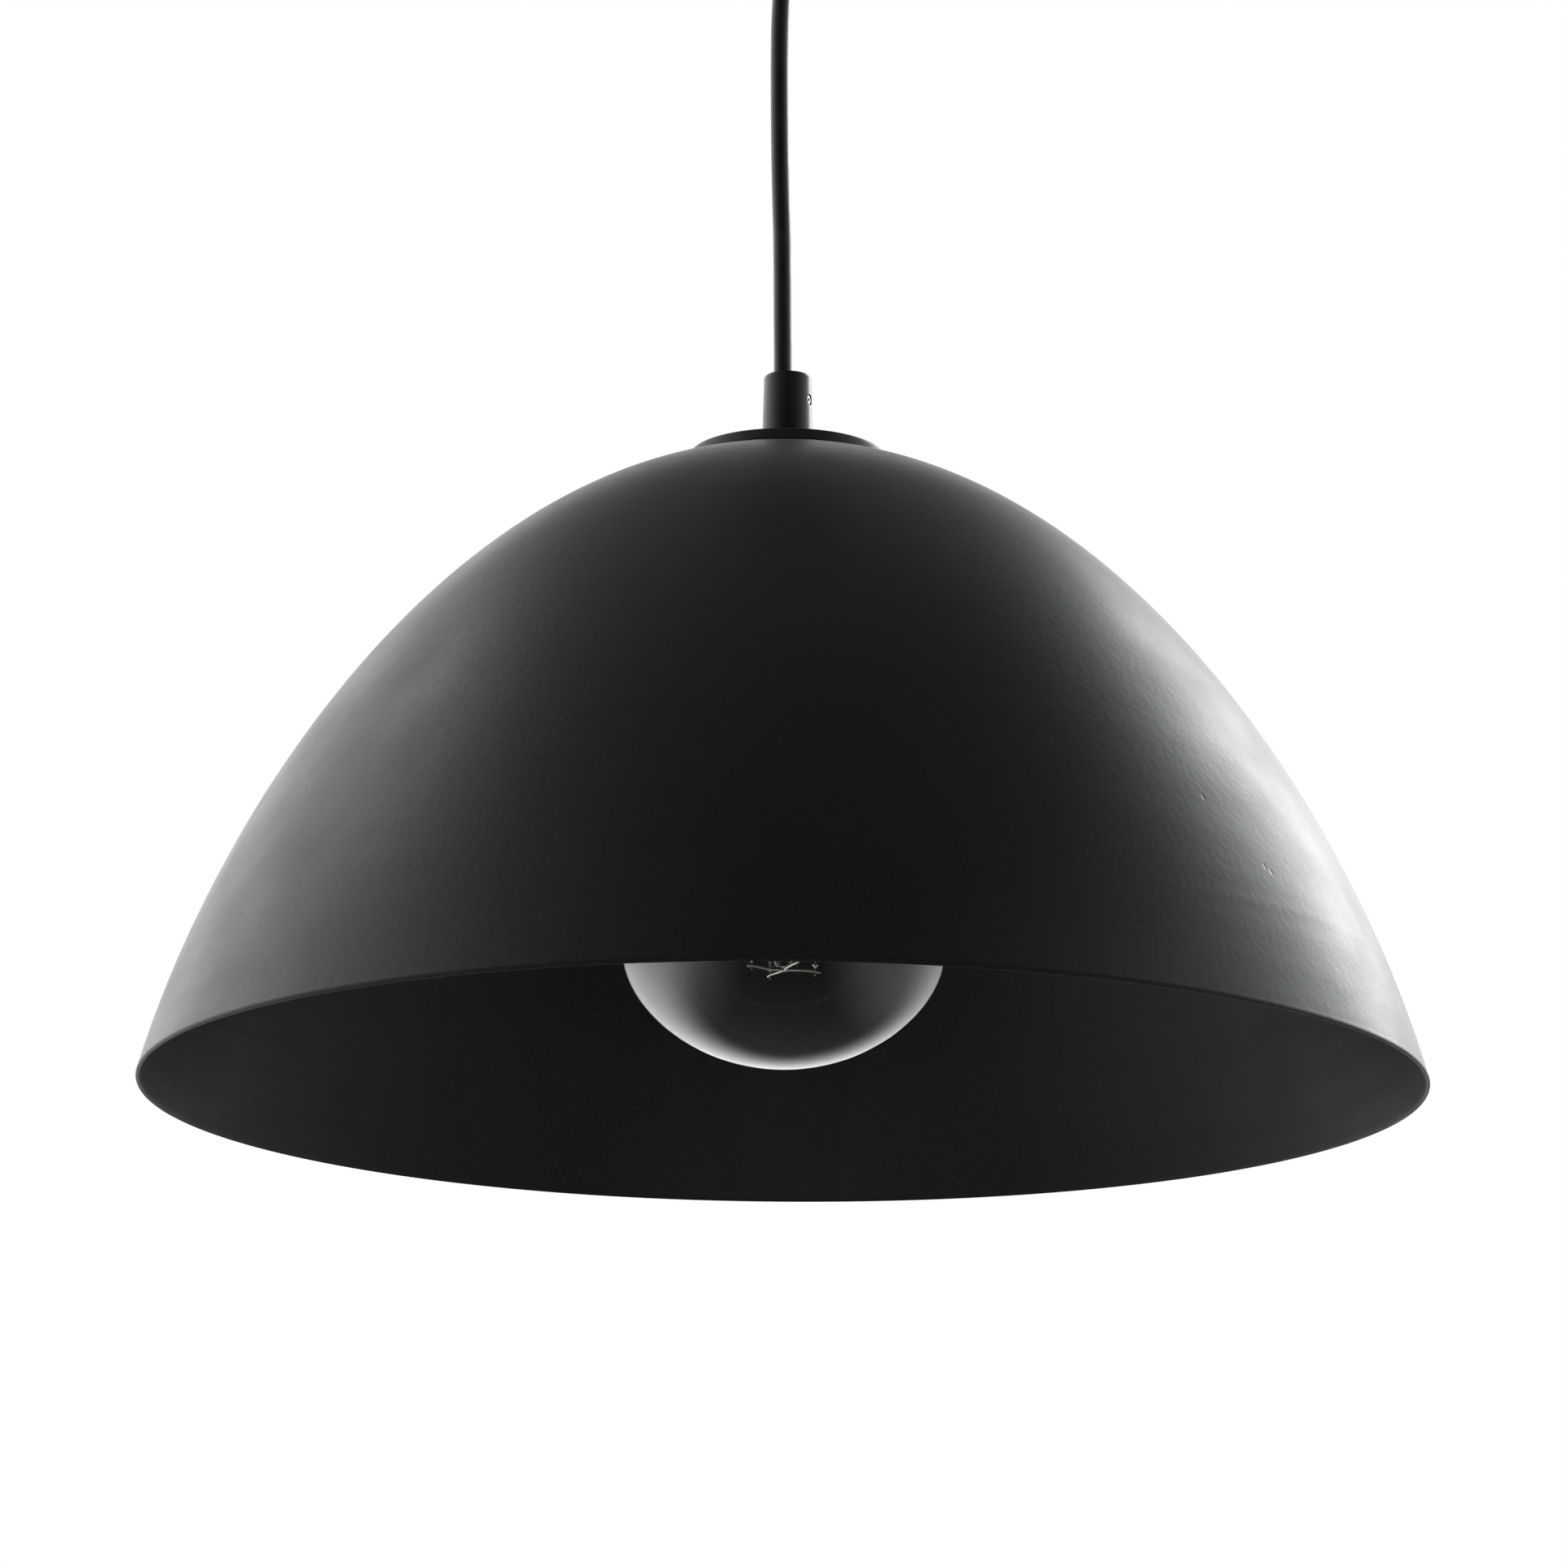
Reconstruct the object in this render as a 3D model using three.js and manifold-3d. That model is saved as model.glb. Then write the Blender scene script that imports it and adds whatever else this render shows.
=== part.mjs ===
// A pendant ceiling light: a spun metal dome shade with one globe lamp, hung by a round cable from a
// small ceiling canopy. Millimetres, +Z up. The origin is the centre of the bracket's top face, which
// lies against the ceiling.

import * as THREE from "three";
import { mergeVertices } from "three/addons/utils/BufferGeometryUtils.js";
import Module from "manifold-3d";

const wasm = await Module();
wasm.setup();

// ---- Driving dimensions ----

const FIT_GAP = 0.3; // air left between two pieces that touch
const DROP = 450; // ceiling face to the plane of the shade's rim

// Shade. Its heights, and those of all that hangs in it, are measured up from the rim plane.
const RIM_RADIUS = 200;
const DOME_HEIGHT = 205.8; // where the dome's curve would meet the axis
const CROWN_HANDLE = 103.6; // how far the curve runs out level from the axis
const RIM_HANDLE = 88; // how far the curve runs up from the rim
const RIM_LEAN = THREE.MathUtils.degToRad(15.1); // how far the wall leans in at the rim
const SHADE_WALL = 1.2;
const CROWN_FLAT_RADIUS = 14; // flat seat for the nut and washer

// M10 x 1 hollow threaded tube and what goes over it
const NIPPLE_RADIUS = 5;
const NIPPLE_BORE = 3.6;
const NIPPLE_HOLE = NIPPLE_RADIUS + 0.35;
const NUT_ACROSS_FLATS = 14;
const NUT_HEIGHT = 4;
const WASHER_RADIUS = 12.5;
const WASHER_HEIGHT = 1.2;
const NIPPLE_IN_GRIP = 11.5;
const NIPPLE_PAST_NUT = 4;

// Cap over the shade's crown
const CAP_RADIUS = 31.2;
const CAP_EDGE_BOTTOM = 202.5;
const CAP_EDGE_TOP = 206.1;
const CAP_TOP = 209;
const CAP_WALL = 1.6;

// Cord grip, used at both ends of the cord
const GRIP_LENGTH = 23;
const GRIP_BASE_RADIUS = 8;
const GRIP_END_RADIUS = 7.6;
const GRIP_EDGE_RADIUS = 1.2;
const GRIP_SOCKET_DEPTH = 12.3;
const GRIP_CORD_BORE = 4.6;
const GRIP_SCREW_HEIGHT = 14.5;
const GRIP_SCREW_RADIUS = 1.25; // M3 grub screw at its thread's mean radius
const GRIP_SCREW_OUTER_END = 7.3; // the screws' ends, from the grip's axis
const UPPER_SCREW_TIP = 3.2;
const LOWER_SCREW_TIP = 2.4;
const GRIP_SCREW_TURN = THREE.MathUtils.degToRad(-21); // where the screw points, from +X towards +Y

// Cord: round two-core PVC flex
const CORD_DIAMETER = 5.8;
const CORD_SIDES = 10;
const CORE_RADIUS = 1;
const CORE_IN_GRIP = 1.3; // from the upper grip's mouth to the cores' ends
const CORE_SPACING = 1.15; // each core's centre from the cord's centre

// Ceiling canopy and bracket
const CANOPY_RADIUS = 55;
const CANOPY_TOP = -0.5;
const CANOPY_BOTTOM = -26.7;
const CANOPY_WALL = 1;
const CANOPY_EDGE_RADIUS = 10;
const CANOPY_TAPER = 0.7;
const BRACKET_LENGTH = 104;
const BRACKET_WIDTH = 20;
const BRACKET_THICKNESS = 2;
const BRACKET_TAB = 14;
const BRACKET_BEND = 3; // outer radius
const BRACKET_SLOT_PLACE = 34;
const BRACKET_SLOT_LENGTH = 8;
const BRACKET_SLOT_RADIUS = 2.3;
const BLOCK_HOLE_RADIUS = 1.6;
const SIDE_SCREW_HEIGHT = -8.5;
const SIDE_SCREW_RADIUS = 1.9;
const SIDE_HOLE_RADIUS = 2.25;

// Two-pole terminal block
const BLOCK_START = 10.5;
const BLOCK_SIZE = 17;
const BLOCK_HEIGHT = 13;
const POLE_OFFSET = 4.25;

// Lampholder, E27
const HOLDER_RADIUS = 19.5;
const HOLDER_WALL = 1.5;
const SKIRT_BOTTOM = 136;
const SKIRT_TOP = 171.6;
const HOLDER_CAP_NECK = 191.5;
const HOLDER_CAP_TOP = 197.5;
const INSERT_RADIUS = 16;
const INSERT_CEILING = 169;
const INSERT_TOP = 177;
const SLEEVE_RADIUS = 14.2;
const SLEEVE_INNER_RADIUS = 13.6;

// Lamp: a clear globe, 125 mm across, with an E27 screw cap
const GLOBE_RADIUS = 62.5;
const GLOBE_BOTTOM = 8.2;
const GLOBE_MIDDLE = GLOBE_BOTTOM + GLOBE_RADIUS;
const GLOBE_SHOULDER = 54; // where the neck's curve leaves the globe, in degrees above its middle
const GLASS_WALL = 0.9;
const NECK_RADIUS = 15.5;
const NECK_TOP = 129;
const SEAL_RADIUS = 12.2; // the glass tube inside the screw cap
const SEAL_TOP = 138.5;
const THREAD_RADIUS = 13.25;
const THREAD_DEPTH = 0.6;
const THREAD_PITCH = 3.62;
const LAMP_TOP = 166.6;
const FILAMENT_COUNT = 4;
const FILAMENT_RADIUS = 0.9;
const FILAMENT_TOP = [6.6, 108]; // distance from the axis, height
const FILAMENT_BOTTOM = [10.8, 42];
const FILAMENT_TURN = THREE.MathUtils.degToRad(23);
const STEM_BOTTOM = 40;
const STEM_WAIST = 112;
const STEM_TOP = 134.2;
const LEAD_RADIUS = 0.4;

// ---- Colours ----

function finish(color, roughness, metalness, more = {}) {
  return new THREE.MeshStandardMaterial({ color, roughness, metalness, ...more });
}

const POWDER_COAT = finish(0x1b1b1c, 0.55, 0.2);
const BLACK_GRIP = finish(0x141414, 0.45, 0.3);
const ZINC = finish(0xb9bcc0, 0.35, 0.9);
const BRASS = finish(0xc9a54d, 0.35, 0.9);
const BLACK_PLASTIC = finish(0x151515, 0.5, 0);
const CERAMIC = finish(0xe9e4da, 0.5, 0);
const IVORY_PLASTIC = finish(0xe8e2d0, 0.5, 0);
const PVC = finish(0x101010, 0.5, 0);
const BROWN_PVC = finish(0x5a3420, 0.5, 0);
const BLUE_PVC = finish(0x2b6cb0, 0.5, 0);
const CLEAR_GLASS = finish(0xe8eef0, 0.05, 0, { transparent: true, opacity: 0.3 });
const NICKEL = finish(0xc8c8c4, 0.25, 0.95);
const BLACK_GLASS = finish(0x0c0c10, 0.2, 0);
const PHOSPHOR = finish(0xe9c76a, 0.6, 0);

// ---- Shape helpers ----

// A solid of revolution about Z from [radius, height] points, up the outside and down the inside.
function turned(profile, segments = 20) {
  const points = profile.map(([radius, height]) => new THREE.Vector2(radius, height));
  return new THREE.LatheGeometry(points, segments).rotateX(Math.PI / 2);
}

// The same for a profile that never touches the axis and closes on itself.
function turnedRing(profile, segments = 20) {
  return turned([...profile, profile[0]], segments);
}

// Points of an arc in a profile, about [radius, height], from one angle to another in degrees.
function arc([radius, height], size, from, to, steps) {
  return Array.from({ length: steps + 1 }, (_, i) => {
    const angle = THREE.MathUtils.degToRad(from + ((to - from) * i) / steps);
    return [radius + size * Math.cos(angle), height + size * Math.sin(angle)];
  });
}

// Points of a cubic curve in a profile, from its four [radius, height] control points.
function curved(controls, steps) {
  const corners = controls.map(([radius, height]) => new THREE.Vector2(radius, height));
  return new THREE.CubicBezierCurve(...corners).getPoints(steps).map((point) => [point.x, point.y]);
}

// An open profile moved sideways by a distance, to the left of its direction.
function offset(profile, distance) {
  return profile.map(([radius, height], i) => {
    const before = profile[Math.max(i - 1, 0)];
    const after = profile[Math.min(i + 1, profile.length - 1)];
    const along = new THREE.Vector2(after[0] - before[0], after[1] - before[1]).normalize();
    return [Math.max(radius - along.y * distance, 0), height + along.x * distance];
  });
}

// A flat outline in X and Y, with round holes given as [x, y, radius], raised along Z.
function plate(outline, height, holes = []) {
  const shape = new THREE.Shape(outline.map(([x, y]) => new THREE.Vector2(x, y)));
  for (const [x, y, radius] of holes) {
    const hole = new THREE.Path();
    hole.absarc(x, y, radius, 0, 2 * Math.PI, true);
    shape.holes.push(hole);
  }
  return new THREE.ExtrudeGeometry(shape, { depth: height, bevelEnabled: false, curveSegments: 10 });
}

function box(low, high) {
  const size = high.map((value, i) => value - low[i]);
  const middle = high.map((value, i) => (value + low[i]) / 2);
  return new THREE.BoxGeometry(...size).translate(...middle);
}

// A straight round rod from one point to another.
function rod(start, end, radius, segments = 12) {
  const from = new THREE.Vector3(...start);
  const along = new THREE.Vector3(...end).sub(from);
  const turn = new THREE.Quaternion().setFromUnitVectors(
    new THREE.Vector3(0, 0, 1),
    along.clone().normalize(),
  );
  return turned([[0, 0], [radius, 0], [radius, along.length()], [0, along.length()]], segments)
    .applyQuaternion(turn)
    .translate(...start);
}

// A round wire that follows a smooth line through the points.
function wire(points, radius, steps, sides = 8) {
  const section = new THREE.Shape(
    Array.from({ length: sides }, (_, i) => {
      const angle = (2 * Math.PI * i) / sides;
      return new THREE.Vector2(radius * Math.cos(angle), radius * Math.sin(angle));
    }),
  );
  const path = new THREE.CatmullRomCurve3(
    points.map((point) => new THREE.Vector3(...point)),
    false,
    "centripetal",
  );
  return new THREE.ExtrudeGeometry(section, { steps, extrudePath: path, bevelEnabled: false });
}

function hexagon(acrossFlats) {
  const corner = acrossFlats / 2 / Math.cos(Math.PI / 6);
  return Array.from({ length: 6 }, (_, i) => [
    corner * Math.cos((i * Math.PI) / 3),
    corner * Math.sin((i * Math.PI) / 3),
  ]);
}

// ---- Cuts and joins ----

function solid(geometry) {
  const bare = geometry.index ? geometry.toNonIndexed() : geometry.clone();
  bare.deleteAttribute("normal");
  bare.deleteAttribute("uv");
  const merged = mergeVertices(bare, 1e-4);
  return new wasm.Manifold(
    new wasm.Mesh({
      numProp: 3,
      vertProperties: merged.attributes.position.array,
      triVerts: new Uint32Array(merged.index.array),
    }),
  );
}

function toGeometry(body) {
  const mesh = body.getMesh();
  const geometry = new THREE.BufferGeometry();
  geometry.setAttribute("position", new THREE.BufferAttribute(mesh.vertProperties, 3));
  geometry.setIndex(new THREE.BufferAttribute(mesh.triVerts, 1));
  geometry.computeVertexNormals();
  return geometry;
}

function cut(base, ...tools) {
  return toGeometry(tools.reduce((rest, tool) => rest.subtract(solid(tool)), solid(base)));
}

function join(base, ...more) {
  return toGeometry(more.reduce((rest, piece) => rest.add(solid(piece)), solid(base)));
}

// ---- Scene graph ----

const pendant = new THREE.Group();
const hanging = new THREE.Group(); // all that is measured from the rim plane
hanging.position.z = -DROP;
pendant.add(hanging);

function place(group, name, geometry, material) {
  const mesh = new THREE.Mesh(geometry, material);
  mesh.name = name;
  group.add(mesh);
  return mesh;
}

// ---- Pieces used more than once ----

function hexNut() {
  return plate(hexagon(NUT_ACROSS_FLATS), NUT_HEIGHT, [[0, 0, NIPPLE_HOLE]]);
}

function washer() {
  return turnedRing([
    [WASHER_RADIUS, 0],
    [WASHER_RADIUS, WASHER_HEIGHT],
    [NIPPLE_HOLE, WASHER_HEIGHT],
    [NIPPLE_HOLE, 0],
  ]);
}

function nipple(length) {
  const chamfer = 0.6;
  return turnedRing([
    [NIPPLE_RADIUS - chamfer, 0],
    [NIPPLE_RADIUS, chamfer],
    [NIPPLE_RADIUS, length - chamfer],
    [NIPPLE_RADIUS - chamfer, length],
    [NIPPLE_BORE, length],
    [NIPPLE_BORE, 0],
  ]);
}

// The cord grip stands on its base at z = 0. A grub screw in its side clamps the cord.
function cordGrip() {
  const edge = arc(
    [GRIP_END_RADIUS - GRIP_EDGE_RADIUS, GRIP_LENGTH - GRIP_EDGE_RADIUS],
    GRIP_EDGE_RADIUS,
    0,
    90,
    2,
  );
  const bore = GRIP_CORD_BORE;
  const mouth = 0.6;
  const foot = 0.4;
  const body = turnedRing([
    [GRIP_BASE_RADIUS - 0.3, 0],
    [GRIP_BASE_RADIUS, foot],
    ...edge,
    [bore + mouth, GRIP_LENGTH],
    [bore, GRIP_LENGTH - mouth],
    [bore, GRIP_SOCKET_DEPTH],
    [NIPPLE_RADIUS + FIT_GAP, GRIP_SOCKET_DEPTH],
    [NIPPLE_RADIUS + FIT_GAP, 0],
  ], 24);
  const hole = rod(
    [bore - 1, 0, GRIP_SCREW_HEIGHT],
    [GRIP_BASE_RADIUS + 2, 0, GRIP_SCREW_HEIGHT],
    GRIP_SCREW_RADIUS + FIT_GAP,
  ).rotateZ(GRIP_SCREW_TURN);
  return cut(body, hole);
}

function grubScrew(tip) {
  const length = GRIP_SCREW_OUTER_END - tip;
  const keySize = 1.5;
  const keyDepth = 2;
  const socket = plate(hexagon(keySize), keyDepth + 0.5).translate(0, 0, length - keyDepth);
  return cut(rod([0, 0, 0], [0, 0, length], GRIP_SCREW_RADIUS), socket)
    .rotateY(Math.PI / 2)
    .translate(tip, 0, GRIP_SCREW_HEIGHT)
    .rotateZ(GRIP_SCREW_TURN);
}

// ---- Ceiling fitting ----

const blockMiddle = BLOCK_START + BLOCK_SIZE / 2;

// The holes for the side screws, one at each end, from one distance out along X to another.
function sideHoles(start, end) {
  return [-1, 1].map((side) =>
    rod(
      [side * start, 0, SIDE_SCREW_HEIGHT],
      [side * end, 0, SIDE_SCREW_HEIGHT],
      SIDE_HOLE_RADIUS,
    ),
  );
}

function ceilingBracket() {
  const half = BRACKET_LENGTH / 2;
  const t = BRACKET_THICKNESS;
  const bend = BRACKET_BEND;
  const inner = bend - t;
  const profile = [
    [-half, -BRACKET_TAB],
    [-half + t, -BRACKET_TAB],
    [-half + t, -bend],
    ...arc([-half + bend, -bend], inner, 180, 90, 2).slice(1),
    ...arc([half - bend, -bend], inner, 90, 0, 2),
    [half - t, -BRACKET_TAB],
    [half, -BRACKET_TAB],
    ...arc([half - bend, -bend], bend, 0, 90, 3),
    ...arc([-half + bend, -bend], bend, 90, 180, 3),
  ];
  const strip = plate(profile, BRACKET_WIDTH)
    .rotateX(Math.PI / 2)
    .translate(0, BRACKET_WIDTH / 2, 0);
  const slotReach = BRACKET_SLOT_LENGTH / 2 - BRACKET_SLOT_RADIUS;
  const slots = [-BRACKET_SLOT_PLACE, BRACKET_SLOT_PLACE].map((x) =>
    plate([
      ...arc([x + slotReach, 0], BRACKET_SLOT_RADIUS, -90, 90, 6),
      ...arc([x - slotReach, 0], BRACKET_SLOT_RADIUS, 90, 270, 6),
    ], 3 * t).translate(0, 0, -2 * t),
  );
  const blockHole = rod([blockMiddle, 0, -t - 2], [blockMiddle, 0, 2], BLOCK_HOLE_RADIUS);
  return cut(strip, ...slots, ...sideHoles(half - 4, half + 2), blockHole);
}

function canopy() {
  const shoulder = CANOPY_RADIUS - CANOPY_TAPER;
  const edge = [shoulder - CANOPY_EDGE_RADIUS, CANOPY_BOTTOM + CANOPY_EDGE_RADIUS];
  const cup = turnedRing([
    [NIPPLE_HOLE, CANOPY_BOTTOM],
    ...arc(edge, CANOPY_EDGE_RADIUS, -90, 0, 4),
    [CANOPY_RADIUS, CANOPY_TOP],
    [CANOPY_RADIUS - CANOPY_WALL, CANOPY_TOP],
    ...arc(edge, CANOPY_EDGE_RADIUS - CANOPY_WALL, 0, -90, 4),
    [NIPPLE_HOLE, CANOPY_BOTTOM + CANOPY_WALL],
  ], 36);
  return cut(cup, ...sideHoles(CANOPY_RADIUS - 5, CANOPY_RADIUS + 5));
}

// An M4 screw that runs in along -X through the canopy's wall into the bracket's tab.
function sideScrew() {
  const headStart = CANOPY_RADIUS + FIT_GAP;
  const headRadius = 3.9;
  const head = 2.6;
  const shank = 9.5;
  const slotDepth = 1.2;
  const slotHalf = 0.5;
  const body = turned([
    [0, -shank],
    [SIDE_SCREW_RADIUS - 0.5, -shank],
    [SIDE_SCREW_RADIUS, -shank + 0.5],
    [SIDE_SCREW_RADIUS, 0],
    [headRadius, 0],
    [headRadius, 0.9],
    [headRadius - 0.7, 1.9],
    [headRadius - 2.1, head - 0.1],
    [0, head],
  ], 16);
  const slot = box([-5, -slotHalf, head - slotDepth], [5, slotHalf, head + 1]);
  return cut(body, slot).rotateY(Math.PI / 2).translate(headStart, 0, SIDE_SCREW_HEIGHT);
}

const blockTop = -BRACKET_THICKNESS - FIT_GAP;
const blockBottom = blockTop - BLOCK_HEIGHT;
const poleHeight = (blockTop + blockBottom) / 2;
const poleTubeRadius = 2.6;
const poleTubeHalf = 7;
const poleScrewSpacing = 3.8;
const poleScrewRadius = 1.25;
const poleBore = 1.6;
const wellRadius = 1.9;

function poleScrewPlaces(y) {
  return [-poleScrewSpacing, poleScrewSpacing].map((x) => [blockMiddle + x, y]);
}

function terminalBlock() {
  const half = BLOCK_SIZE / 2;
  const body = box(
    [BLOCK_START, -half, blockBottom],
    [BLOCK_START + BLOCK_SIZE, half, blockTop],
  );
  const grooveLength = 4.5;
  const grooveHalf = 0.7;
  const grooveDepth = 3;
  const grooves = [-1, 1].map((side) =>
    box([-half, -grooveHalf, blockBottom - 1], [half, grooveHalf, blockBottom + grooveDepth])
      .translate(blockMiddle + side * (2 * half - grooveLength), 0, 0),
  );
  const bores = [-POLE_OFFSET, POLE_OFFSET].map((y) =>
    rod(
      [BLOCK_START - 1, y, poleHeight],
      [BLOCK_START + BLOCK_SIZE + 1, y, poleHeight],
      poleTubeRadius + FIT_GAP,
    ),
  );
  const wells = [-POLE_OFFSET, POLE_OFFSET].flatMap((y) =>
    poleScrewPlaces(y).map(([x]) => rod([x, y, blockBottom - 1], [x, y, poleHeight], wellRadius)),
  );
  const screwHole = rod([blockMiddle, 0, blockBottom - 1], [blockMiddle, 0, blockTop + 1], 1.35);
  return cut(body, ...grooves, ...bores, ...wells, screwHole);
}

function poleTube(y) {
  const tube = turnedRing([
    [poleTubeRadius, -poleTubeHalf],
    [poleTubeRadius, poleTubeHalf],
    [poleBore, poleTubeHalf],
    [poleBore, -poleTubeHalf],
  ], 16)
    .rotateY(Math.PI / 2)
    .translate(blockMiddle, y, poleHeight);
  const holes = poleScrewPlaces(y).map(([x]) =>
    rod([x, y, poleHeight - 4], [x, y, poleHeight], poleScrewRadius + 0.25, 10),
  );
  return cut(tube, ...holes);
}

function poleScrew(x, y) {
  const body = rod([x, y, blockBottom + 1.2], [x, y, poleHeight - 1.4], poleScrewRadius, 10);
  const slot = box([x - 2, y - 0.25, blockBottom], [x + 2, y + 0.25, blockBottom + 1.9]);
  return cut(body, slot);
}

function blockScrew() {
  const head = blockBottom - FIT_GAP;
  const headRadius = 2.2;
  const shankRadius = 1.05;
  const end = -0.4;
  const body = turned([
    [0, head - 1.4],
    [headRadius - 0.6, head - 1.3],
    [headRadius, head - 0.6],
    [headRadius, head],
    [shankRadius, head],
    [shankRadius, end],
    [0, end],
  ], 12).translate(blockMiddle, 0, 0);
  const slot = box([blockMiddle - 3, -0.3, head - 2], [blockMiddle + 3, 0.3, head - 0.8]);
  return cut(body, slot);
}

const gripBaseHeight = CANOPY_BOTTOM - FIT_GAP;
const cordExit = gripBaseHeight - GRIP_LENGTH;
const canopyFloor = CANOPY_BOTTOM + CANOPY_WALL;
const canopyWasherBottom = canopyFloor + FIT_GAP;
const canopyNutBottom = canopyWasherBottom + WASHER_HEIGHT + FIT_GAP;
const canopyNippleTop = canopyNutBottom + NUT_HEIGHT + NIPPLE_PAST_NUT;
const canopyNippleLength = canopyNippleTop - (gripBaseHeight - NIPPLE_IN_GRIP);

place(pendant, "ceiling_bracket", ceilingBracket(), ZINC);
place(pendant, "canopy", canopy(), POWDER_COAT);
place(pendant, "canopy_screw_right", sideScrew(), BLACK_GRIP);
place(pendant, "canopy_screw_left", sideScrew(), BLACK_GRIP).rotation.z = Math.PI;
place(pendant, "canopy_washer", washer(), ZINC).position.z = canopyWasherBottom;
place(pendant, "canopy_nut", hexNut(), ZINC).position.z = canopyNutBottom;
place(pendant, "canopy_nipple", nipple(canopyNippleLength), ZINC).position.z =
  canopyNippleTop - canopyNippleLength;

const canopyGripGroup = new THREE.Group();
canopyGripGroup.position.z = gripBaseHeight;
canopyGripGroup.rotation.x = Math.PI;
pendant.add(canopyGripGroup);
place(canopyGripGroup, "canopy_grip", cordGrip(), BLACK_GRIP);
place(canopyGripGroup, "canopy_grip_screw", grubScrew(UPPER_SCREW_TIP), ZINC);

place(pendant, "terminal_block", terminalBlock(), IVORY_PLASTIC);
place(pendant, "terminal_block_screw", blockScrew(), ZINC);
for (const [pole, y] of [["live", -POLE_OFFSET], ["neutral", POLE_OFFSET]]) {
  place(pendant, `terminal_${pole}`, poleTube(y), BRASS);
  poleScrewPlaces(y).forEach(([x, screwY], i) => {
    place(pendant, `terminal_${pole}_screw_${i + 1}`, poleScrew(x, screwY), ZINC);
  });
}

// The cord's two cores, from the grip's bore through the nipple to the terminal block.
for (const [pole, side, material] of [["live", -1, BROWN_PVC], ["neutral", 1, BLUE_PVC]]) {
  const y = side * CORE_SPACING;
  const core = wire([
    [0, y, cordExit + CORE_IN_GRIP],
    [0, y, gripBaseHeight],
    [0, y, canopyNippleTop],
    [2.2, side * 1.8, poleHeight - 1.6],
    [8, side * POLE_OFFSET * 0.9, poleHeight],
    [BLOCK_START + 3.2, side * POLE_OFFSET, poleHeight],
  ], CORE_RADIUS, 16);
  place(pendant, `canopy_core_${pole}`, core, material);
}

// ---- Cord ----

// The cord leaves the upper grip straight down, bows a little to one side and comes into the lower
// grip beside its middle, because the grub screw presses it over. Points are [x, z]. Each length
// starts at the middle of a ball as wide as the cord, which it swings about.
const CORD_RADIUS = CORD_DIAMETER / 2;
const CORD_SPLIT = -87;
const CORD_ABOVE_SPLIT = [
  [0, cordExit - FIT_GAP - CORD_RADIUS],
  [0, -58],
  [-0.35, -64],
  [-1.1, -72],
  [-2.1, -80],
  [-2.8, CORD_SPLIT],
];
const CORD_BELOW_SPLIT = [
  [-2.95, CORD_SPLIT - FIT_GAP - CORD_RADIUS],
  [-3.2, -96],
  [-3.35, -105],
  [-3.3, -120],
  [-2.9, -146],
  [-2.5, -160],
  [-2.1, -173],
  [-1.85, -190],
  [-1.6, -211],
  [-1.55, -217.3],
];

function cordTube(route, steps) {
  const tube = wire(route.map(([x, z]) => [x, 0, z]), CORD_RADIUS, steps, CORD_SIDES);
  const [x, z] = route[0];
  const ball = turned(arc([0, 0], CORD_RADIUS, -90, 90, 6), CORD_SIDES).translate(x, 0, z);
  return join(tube, ball);
}

place(pendant, "cord_upper", cordTube(CORD_ABOVE_SPLIT, 4), PVC);
place(pendant, "cord_lower", cordTube(CORD_BELOW_SPLIT, 10), PVC);

// ---- Shade ----

// The dome's outside from the rim up to the flat of its crown.
function domeOutside(steps) {
  const whole = curved([
    [RIM_RADIUS, 0],
    [RIM_RADIUS - RIM_HANDLE * Math.sin(RIM_LEAN), RIM_HANDLE * Math.cos(RIM_LEAN)],
    [CROWN_HANDLE, DOME_HEIGHT],
    [0, DOME_HEIGHT],
  ], steps);
  return whole.filter(([radius]) => radius > CROWN_FLAT_RADIUS + 1);
}

const crownTop = 205.1;
const crownUnderside = crownTop - SHADE_WALL;

function shade() {
  const outside = domeOutside(13);
  const inside = offset(outside, SHADE_WALL).reverse();
  const lip = SHADE_WALL / 2;
  outside[0] = [RIM_RADIUS - lip * Math.sin(RIM_LEAN), lip];
  inside[inside.length - 1] = [RIM_RADIUS - SHADE_WALL, lip];
  return turnedRing([
    [RIM_RADIUS - lip, 0],
    ...outside,
    [CROWN_FLAT_RADIUS, crownTop],
    [NIPPLE_HOLE, crownTop],
    [NIPPLE_HOLE, crownUnderside],
    [CROWN_FLAT_RADIUS, crownUnderside],
    ...inside,
  ], 44);
}

function shadeCap() {
  const edge = 1.1;
  return turnedRing([
    [CAP_RADIUS - 0.4, CAP_EDGE_BOTTOM],
    [CAP_RADIUS, CAP_EDGE_BOTTOM + 0.6],
    ...arc([CAP_RADIUS - edge, CAP_EDGE_TOP - edge], edge, 0, 75, 2),
    ...curved([[26, CAP_EDGE_TOP + 0.9], [20, CAP_EDGE_TOP + 1.9], [15, CAP_TOP], [9, CAP_TOP]], 2),
    [NIPPLE_HOLE, CAP_TOP],
    [NIPPLE_HOLE, crownTop + FIT_GAP],
    [11, crownTop + FIT_GAP],
    [11.5, CAP_TOP - CAP_WALL - 0.3],
    [CAP_RADIUS - CAP_WALL - 1, CAP_EDGE_TOP - CAP_WALL],
    [CAP_RADIUS - CAP_WALL, CAP_EDGE_BOTTOM],
  ], 32);
}

const shadeGripBase = CAP_TOP + FIT_GAP;
const shadeWasherBottom = crownUnderside - FIT_GAP - WASHER_HEIGHT;
const shadeNutBottom = shadeWasherBottom - FIT_GAP - NUT_HEIGHT;
const shadeNippleBottom = 187.5;
const shadeNippleTop = shadeGripBase + NIPPLE_IN_GRIP;

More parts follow.
